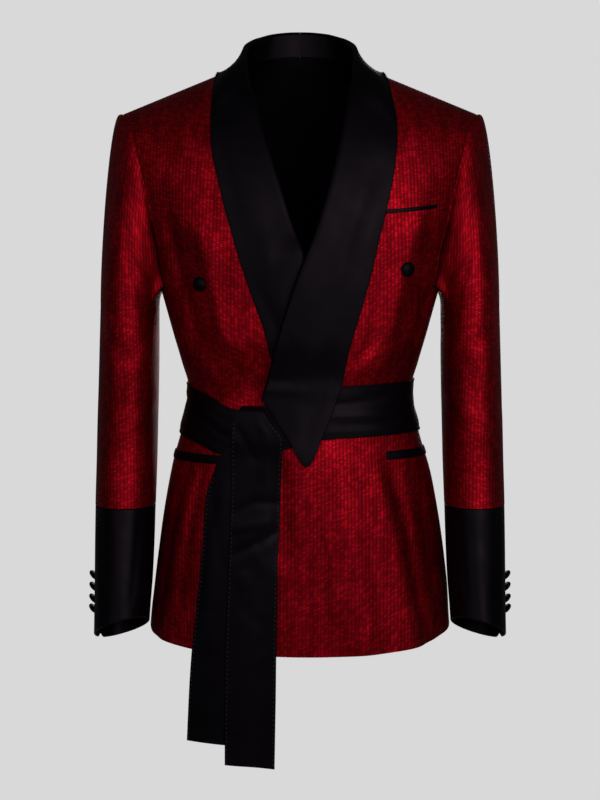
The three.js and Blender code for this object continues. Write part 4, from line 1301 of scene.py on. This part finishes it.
def chest_button(name, x, z):
    r, h = CHEST_BUTTON["across"] / 2, CHEST_BUTTON["thick"]
    profile = [
        (0, 0), (0.45 * r, 0), (0.8 * r, 0.08 * h), (0.97 * r, 0.24 * h), (r, 0.36 * h),
        (0.985 * r, 0.48 * h), (0.93 * r, 0.6 * h), (0.84 * r, 0.7 * h), (0.7 * r, 0.8 * h),
        (0.52 * r, 0.9 * h), (0.3 * r, 0.97 * h), (0.12 * r, h), (0, h),
    ]
    a = angle_of(x, z)
    return turned(name, layer(a, z, SEAT), outward(a, z), profile, 48)


def cuff_button(name, side, z):
    v = 2 + (z - CUFF_SEAM_Z) / (CUFF_END_Z - CUFF_SEAM_Z)
    a = BACK_SEAM_CUFF + CUFF_BUTTON["past"]
    on = sleeve_layer(np.array(float(a)), np.array(float(v)), 0.0)
    n = unit(sleeve_layer(np.array(float(a)), np.array(float(v)), 1.0) - on)
    lean = math.radians(CUFF_BUTTON["lean"])
    axis = unit(np.array([n[0] * math.cos(lean), n[1] * math.cos(lean), -math.sin(lean)]))
    centre = on + n * CUFF_BUTTON["stand"]
    r, h, neck = CUFF_BUTTON["across"] / 2, CUFF_BUTTON["thick"] / 2, CUFF_BUTTON["neck"]
    base = -h - CUFF_BUTTON["shank"]
    profile = [
        (0, base), (neck, base), (neck, -h - 0.4), (1.4 * neck, -h), (0.86 * r, -h), (0.97 * r, -0.6 * h),
        (r, -0.1 * h), (0.985 * r, 0.25 * h), (0.92 * r, 0.58 * h), (0.76 * r, 0.84 * h),
        (0.5 * r, 0.98 * h), (0.2 * r, h), (0, h),
    ]
    mirror = np.array([side, 1, 1])
    return turned(name, centre * mirror, axis * mirror, profile, 36)


def cuff(side, name):
    near = EDGE_STEPS / CUFF_LONG
    v = np.concatenate([CUFF_START + near, np.linspace(2.012, 2.99, 44), 3 - near[::-1]])[:, None]
    a = np.linspace(BACK_SEAM_CUFF - 360 + SLEEVE_GAP, BACK_SEAM_CUFF - SLEEVE_GAP, 200)[None, :]
    ahead = np.abs((a - BACK_SEAM_CUFF + 540) % 360 - 180)
    away = np.radians(ahead) * sleeve_deep(CUFF_END_Z)
    notch = NOTCH_HIGH / (CUFF_SEAM_Z - CUFF_END_Z) * (1 - smooth(away / NOTCH_WIDE))
    shape = v - notch * np.clip(v * 4 - 11, 0, 1)
    a = a + back_seam(v) - BACK_SEAM_CUFF
    crease = sleeve_creases(CUFF_CREASES, side, a, v)
    roll = edge_roll(np.minimum(v - CUFF_START, 3 - v) * CUFF_LONG, CLOTH)
    mirror = np.array([side, 1, 1])
    outer = sleeve_layer(a, shape, crease - roll) * mirror
    inner = sleeve_layer(a, shape, crease - CLOTH + roll) * mirror
    return satin_wall(name, outer, inner, a / 10, v * 14)


def back_lining():
    levels = rise_levels()[::2]
    xs = np.linspace(-1, 1, 61)
    grid_a, grid_z = [], []
    for t in levels:
        level = rise_level(t, True)
        x = xs * armhole_reach(t, level) * LINING_WIDE
        z = level(x)
        grid_a.append(180 - angle_of(x, z))
        grid_z.append(z)
    a, z = np.array(grid_a), np.array(grid_z)
    faces = []
    for out in (-LINING_IN, -LINING_IN - LINING_THICK):
        points = layer(a, z, out)
        points[..., 1] = np.maximum(points[..., 1], SEAM / 2)
        faces.append(points)
    uv = np.stack([a / 4, z / 10], -1)
    return dress(wall("back_lining_sheet", faces[0], faces[1], uv), ["back_lining"], lining)


# Materials.


class Shader:
    """Small helper that adds nodes to one material."""

    def __init__(self, name, **values):
        self.material = bpy.data.materials.new(name)
        self.material.use_nodes = True
        self.tree = self.material.node_tree
        self.surface = self.tree.nodes["Principled BSDF"]
        for key, value in values.items():
            self.surface.inputs[key.replace("_", " ")].default_value = value

    def node(self, kind, inputs=(), output=0, **settings):
        made = self.tree.nodes.new("ShaderNode" + kind)
        for key, value in settings.items():
            setattr(made, key, value)
        for key, value in dict(inputs).items():
            if isinstance(value, bpy.types.NodeSocket):
                self.tree.links.new(value, made.inputs[key])
            else:
                made.inputs[key].default_value = value
        return made.outputs[output]

    def math(self, operation, *values):
        return self.node("Math", enumerate(values), operation=operation)

    def spread(self, value, low, high, to_low=0.0, to_high=1.0):
        inputs = {0: value, 1: low, 2: high, 3: to_low, 4: to_high}
        return self.node("MapRange", inputs, interpolation_type="SMOOTHSTEP")

    def colour(self, factor, low, high):
        return self.node("Mix", {0: factor, 6: low, 7: high}, 2, data_type="RGBA")

    def noise(self, vector, scale, detail=3.0):
        return self.node("TexNoise", {"Vector": vector, "Scale": scale, "Detail": detail})

    def link(self, value, name):
        self.tree.links.new(value, self.surface.inputs[name])

    def bump(self, height, distance, strength=1.0, normal=None):
        inputs = {"Height": height, "Distance": distance, "Strength": strength}
        if normal is not None:
            inputs["Normal"] = normal
        return self.node("Bump", inputs)


def ribbed_material():
    """Red metallic cloth: raised ribs with a row of slanted bright stitches along each."""
    sh = Shader("ribbed_cloth", Metallic=0.97, Specular_IOR_Level=0.2)
    uv = sh.node("UVMap", uv_map="UVMap")
    u = sh.node("SeparateXYZ", {0: uv}, 0)
    v = sh.node("SeparateXYZ", {0: uv}, 1)
    rib = sh.math("FLOOR", sh.math("ADD", u, 0.5))
    across = sh.math("SUBTRACT", u, rib)
    odd = sh.math("MODULO", sh.math("ABSOLUTE", rib), 2.0)
    place = sh.node("TexCoord", output=3)
    wander = sh.noise(place, 260.0)
    along_rib = sh.math("ADD", sh.math("DIVIDE", v, RIB_STITCH), sh.math("MULTIPLY", odd, 0.5))
    along_rib = sh.math("ADD", along_rib, sh.math("MULTIPLY", across, 0.7))
    along_rib = sh.math("ADD", along_rib, sh.math("MULTIPLY", wander, 0.5))
    stitch = sh.math("FLOOR", along_rib)
    within = sh.math("SUBTRACT", sh.math("SUBTRACT", along_rib, stitch), 0.5)
    reach = sh.math("MULTIPLY", across, 2.5)
    deep = sh.math("MULTIPLY", sh.math("MULTIPLY", within, within), 5.2)
    far = sh.math("SQRT", sh.math("ADD", sh.math("MULTIPLY", reach, reach), deep))
    dot = sh.spread(far, 1.05, 0.35)
    cell = sh.node("CombineXYZ", {0: rib, 1: stitch})
    chance = sh.node("TexWhiteNoise", {"Vector": cell}, 0, noise_dimensions="2D")
    streak_u, streak_v = sh.math("MULTIPLY", u, 0.45), sh.math("MULTIPLY", v, 0.022)
    streak = sh.node("CombineXYZ", {0: streak_u, 1: streak_v})
    streaks = sh.spread(sh.noise(streak, 1.0, 3.0), 0.32, 0.7, 0.6, 1.0)
    # Large soft patches, darker and lighter at random places over the cloth: painted sheen, standing in
    # for the cloth's sheen changing over its folds.
    painted_sheen_patch = sh.spread(sh.noise(place, 11.0, 4.0), 0.3, 0.72, 0.6, 1.0)
    chance = sh.spread(chance, 0.35, 1.0, 0.5, 1.0)
    level = sh.math("MULTIPLY", sh.math("MULTIPLY", painted_sheen_patch, streaks), chance)
    bright = sh.math("MULTIPLY", sh.spread(dot, 0.0, 1.0, 0.55, 1.0), level)
    dark = (0.035, 0.0, 0.0007, 1)
    light = (0.6, 0.0055, 0.018, 1)
    sh.link(sh.colour(bright, dark, light), "Base Color")
    sh.link(sh.spread(dot, 0.0, 1.0, 0.58, 0.48), "Roughness")
    sh.link(sh.bump(dot, 0.00008, 0.6), "Normal")
    return sh.material


def soft_shader(name, shine, scale, detail, dark, light, rough, **more):
    """Plain cloth whose colour and roughness wander softly."""
    sh = Shader(name, Metallic=0.0, Specular_IOR_Level=shine, **more)
    place = sh.node("TexCoord", output=3)
    soft = sh.noise(place, scale, detail)
    sh.link(sh.colour(soft, (*dark, 1), (*light, 1)), "Base Color")
    sh.link(sh.spread(soft, 0.3, 0.7, *rough), "Roughness")
    return sh, place, soft


def satin_material():
    dark, light, tint = (0.0003, 0.0002, 0.0004), (0.0007, 0.0005, 0.0009), (1.0, 0.78, 1.0, 1.0)
    sh, place, soft = soft_shader("satin", 0.07, 26.0, 2.0, dark, light, (0.44, 0.54), Specular_Tint=tint)
    weave = sh.noise(place, 1600.0, 1.0)
    broad = sh.bump(soft, 0.0016, 0.35)
    sh.link(sh.bump(weave, 0.00005, 0.4, broad), "Normal")
    return sh.material


ribbed_cloth = ribbed_material()
satin = satin_material()
dark, light = (0.0002, 0.0002, 0.0002), (0.0005, 0.0004, 0.0005)
lining = soft_shader("lining", 0.03, 40.0, 2.0, dark, light, (0.62, 0.75))[0].material
# Stitches of the tails: dark grey, lighter than the satin they are sewn in, as a painted highlight on the
# stitches.
dark, light = (0.010, 0.008, 0.012), (0.035, 0.029, 0.040)
stitch_painted_highlight = soft_shader("stitch_painted_highlight", 0.25, 300.0, 1.0, dark, light, (0.4, 0.5))[0].material

# Pick stitches along the turned satin edges.
STITCH_STEP = 5.5
STITCH_HALF = 0.6
STITCH_HIGH = 0.45
STITCH_IN = 2.4
EDGE_STITCH_IN = 0.8


def stitch_line(name, place, material, lean=0.5, half_long=1.25):
    """Short slanted stitches in one piece, along the line of points that place gives for a lift."""
    line = place(0)
    normals = place(1) - line
    length = run(line)
    spots = np.arange(STITCH_STEP / 2, length[-1], STITCH_STEP)
    centre = read(spots, length, line)
    up = unit(read(spots, length, normals))
    way = unit(read(spots + 0.5, length, line) - read(spots - 0.5, length, line))
    cross = unit(np.cross(up, way))
    long_way = unit(way * math.cos(lean) + cross * math.sin(lean))
    short_way = np.cross(up, long_way)
    shape = [(0, -1, 0), (0, 1, 0)]
    for a in range(6):
        shape.append((math.cos(a * math.pi / 3), 0, math.sin(a * math.pi / 3)))
    points, faces = [], []
    for c, ahead, aside, n in zip(centre, long_way, short_way, up):
        base = len(points)
        for x, y, z in shape:
            lift = STITCH_HIGH * z + 0.05
            points.append(c + ahead * half_long * y + aside * STITCH_HALF * x + n * lift)
        for a in range(6):
            b = (a + 1) % 6
            faces.append([base, base + 2 + b, base + 2 + a])
            faces.append([base + 1, base + 2 + a, base + 2 + b])
    points = np.array(points)
    obj = make(name, points, faces, points[:, [0, 2]] / 10, 80)
    obj.data.materials.append(material)
    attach(obj, "root")
    return obj


def lapel_stitches(cut, side, name):
    rows = shawl_rows(cut, side)
    u = np.arange(0.9, len(rows) - 1.0, 0.1)
    width = fold_frame(rows, u)[3][:, None]
    away = width - EDGE_STITCH_IN
    high = LAPEL_OUT - lapel_press(rows, side, u, width)

    def place(lift):
        return shawl_place(rows, side, u, away, high + lift, 1 + 0 * away, False)[:, 0]

    return stitch_line(name, place, satin, lean=1.1 * side, half_long=2.1)


def belt_stitches(end, t):
    a = np.linspace(BELT["a"][0] - 4, BELT["a"][-1] + 16, 400)
    name = f"belt_band_stitches_{end}"
    return stitch_line(name, lambda lift: belt_at(a, t, BELT_OUT + lift), satin, lean=1.1, half_long=2.0)


def tail_stitches(name, rows, slant, lines, first, end, t):
    z = np.linspace(first, rows["z"][-1] + 2, 160)
    share = np.full(len(z), t)

    def place(lift):
        return tail_place(rows, slant, lines, z, share, lift)

    return stitch_line(f"{name}_stitches_{end}", place, stitch_painted_highlight)


# The whole garment.
made = {}
PARTS = [
    ("front", front_panel),
    ("side", side_panel),
    ("back", back_panel),
    ("sleeve_top", lambda side, name: sleeve_panel(side, name, False)),
    ("sleeve_under", lambda side, name: sleeve_panel(side, name, True)),
    ("cuff", lambda side, name: [cuff(side, name)]),
]
for side, word in ((1, "left"), (-1, "right")):
    for part, build in PARTS:
        made[f"{part}_{word}"] = build(side, f"{part}_{word}")
    for k, z in enumerate(CUFF_BUTTON_Z):
        cuff_button(f"cuff_button_{word}_{k + 1}", side, z)
for name, cut, side in (("shawl_left", SHAWL_LEFT, 1), ("shawl_right", SHAWL_RIGHT, -1)):
    made[name] = [shawl_panel(cut, side, name), lapel_stitches(cut, side, name + "_stitches")]
made["collar_stand"] = [stand_sheet()]
made["back_lining"] = [back_lining()]
near = EDGE_STITCH_IN / BELT_WIDE
made["belt_band"] = [belt_band(), belt_stitches("top", near), belt_stitches("low", 1 - near)]
knot_lump()
TAILS = [
    ("belt_tail_front", (TAIL_FRONT, TAIL_FRONT_SLANT, TAIL_FRONT_CREASES), -424),
    ("belt_tail_rear", (TAIL_REAR, TAIL_REAR_SLANT, TAIL_REAR_CREASES), -490),
]
near = STITCH_IN / TAIL_WIDE
for name, cut, first in TAILS:
    made[name] = [tail(name, *cut)]
    for end, t in (("outer", near), ("inner", 1 - near)):
        made[name].append(tail_stitches(name, *cut, first, end, t))
welt = [angle_of(WELT["x1"], WELT["z1"]), WELT["z1"], angle_of(WELT["x2"], WELT["z2"]), WELT["z2"]]
made["breast_welt"] = [strip("breast_welt", *welt, WELT["high"], WELT["out"], WELT["thick"])]
for name, side, x1, a2, z in JETS:
    ends = [angle_of(side * x1, z), z, side * a2, z]
    made[name] = [strip(name, *ends, JET_HIGH, JET_OUT, JET_THICK)]
for name, x, z in CHEST_BUTTONS:
    chest_button(name, x, z)

# How each sheet is held and on which pieces it lies.
PANELS = [f"{part}_{word}" for part in ("front", "side", "back") for word in ("left", "right")]
HELD = {name: ("draped", []) for name in PANELS}
HELD["belt_band"] = ("gathered", PANELS)
HELD["collar_stand"] = ("folded", ["back_left", "back_right"])
HELD["back_lining"] = ("laid", ["back_left", "back_right"])
HELD["belt_tail_front"] = HELD["belt_tail_rear"] = ("hung", ["belt_knot"])
HELD["breast_welt"] = ("laid", ["front_left"])
for word in ("left", "right"):
    HELD[f"sleeve_top_{word}"] = HELD[f"sleeve_under_{word}"] = ("hung", [f"front_{word}", f"back_{word}"])
    HELD[f"cuff_{word}"] = ("hung", [f"sleeve_top_{word}", f"sleeve_under_{word}"])
    HELD[f"shawl_{word}"] = ("folded", [f"front_{word}", f"back_{word}"])
    HELD[f"hip_jet_{word}"] = ("laid", [f"front_{word}", f"side_{word}"])
for name, pieces in made.items():
    wide, long, area = FLAT[pieces[0].name]
    wide, long = max(wide, 0.01), max(long, 0.01)

# Plain pale floor at standing height below the hem, outside the photo's frame.
FLOOR_Z = -1.42
FLOOR_RADIUS = 1.15
FLOOR_SIDES = 96
turns = [2 * math.pi * k / FLOOR_SIDES for k in range(FLOOR_SIDES)]
circle = [(FLOOR_RADIUS * math.cos(turn), FLOOR_RADIUS * math.sin(turn), FLOOR_Z) for turn in turns]
floor_mesh = bpy.data.meshes.new("floor")
floor_mesh.from_pydata(circle, [], [list(range(FLOOR_SIDES))])
floor = linked("floor", floor_mesh)
pale = Shader("pale_floor", Roughness=0.8)
pale.surface.inputs["Base Color"].default_value = (0.7, 0.7, 0.7, 1)
floor_mesh.materials.append(pale.material)

# Soft studio light.
LIGHTS = [
    ("left_box", (-0.9, -1.9, 0.2), 1.7, 10),
    ("right_box", (0.8, -1.9, 0.2), 1.6, 25),
    ("rear", (0.3, 2.4, 0.0), 1.6, 14),
]
AIM = Vector((0, 0, -0.36))
for name, spot, size, energy in LIGHTS:
    lamp = bpy.data.lights.new(name, "AREA")
    lamp.shape = "DISK"
    lamp.size = size
    lamp.energy = energy
    obj = linked(name, lamp)
    obj.location = spot
    obj.rotation_euler = (AIM - obj.location).to_track_quat("-Z", "Y").to_euler()

# Backdrop colour where the sky is seen, and a weaker light of it on the garment.
BACKDROP = 0.694
AMBIENT = 0.07
world = bpy.data.worlds.new("studio")
bpy.context.scene.world = world
world.use_nodes = True
nodes, links = world.node_tree.nodes, world.node_tree.links
ambient = nodes["Background"]
seen = nodes.new("ShaderNodeBackground")
for background, strength in ((ambient, AMBIENT), (seen, BACKDROP)):
    background.inputs["Color"].default_value = (1, 1, 1, 1)
    background.inputs["Strength"].default_value = strength
path = nodes.new("ShaderNodeLightPath")
choose = nodes.new("ShaderNodeMixShader")
links.new(path.outputs["Is Camera Ray"], choose.inputs["Fac"])
links.new(ambient.outputs["Background"], choose.inputs[1])
links.new(seen.outputs["Background"], choose.inputs[2])
links.new(choose.outputs["Shader"], nodes["World Output"].inputs["Surface"])

# Camera at the photo's distance, level and angle.
CAMERA_PITCH = math.radians(5)
CAMERA_FAR = 2.4
CAMERA_AIM_Z = -0.406
camera = bpy.data.cameras.new("camera")
camera.lens = 86.4
camera.sensor_width = 36
eye = linked("camera", camera)
up, back = CAMERA_FAR * math.sin(CAMERA_PITCH), CAMERA_FAR * math.cos(CAMERA_PITCH)
eye.location = (0, -back, CAMERA_AIM_Z + up)
eye.rotation_euler = (math.pi / 2 - CAMERA_PITCH, 0, 0)
bpy.context.scene.camera = eye
bpy.context.scene.view_settings.view_transform = "Standard"
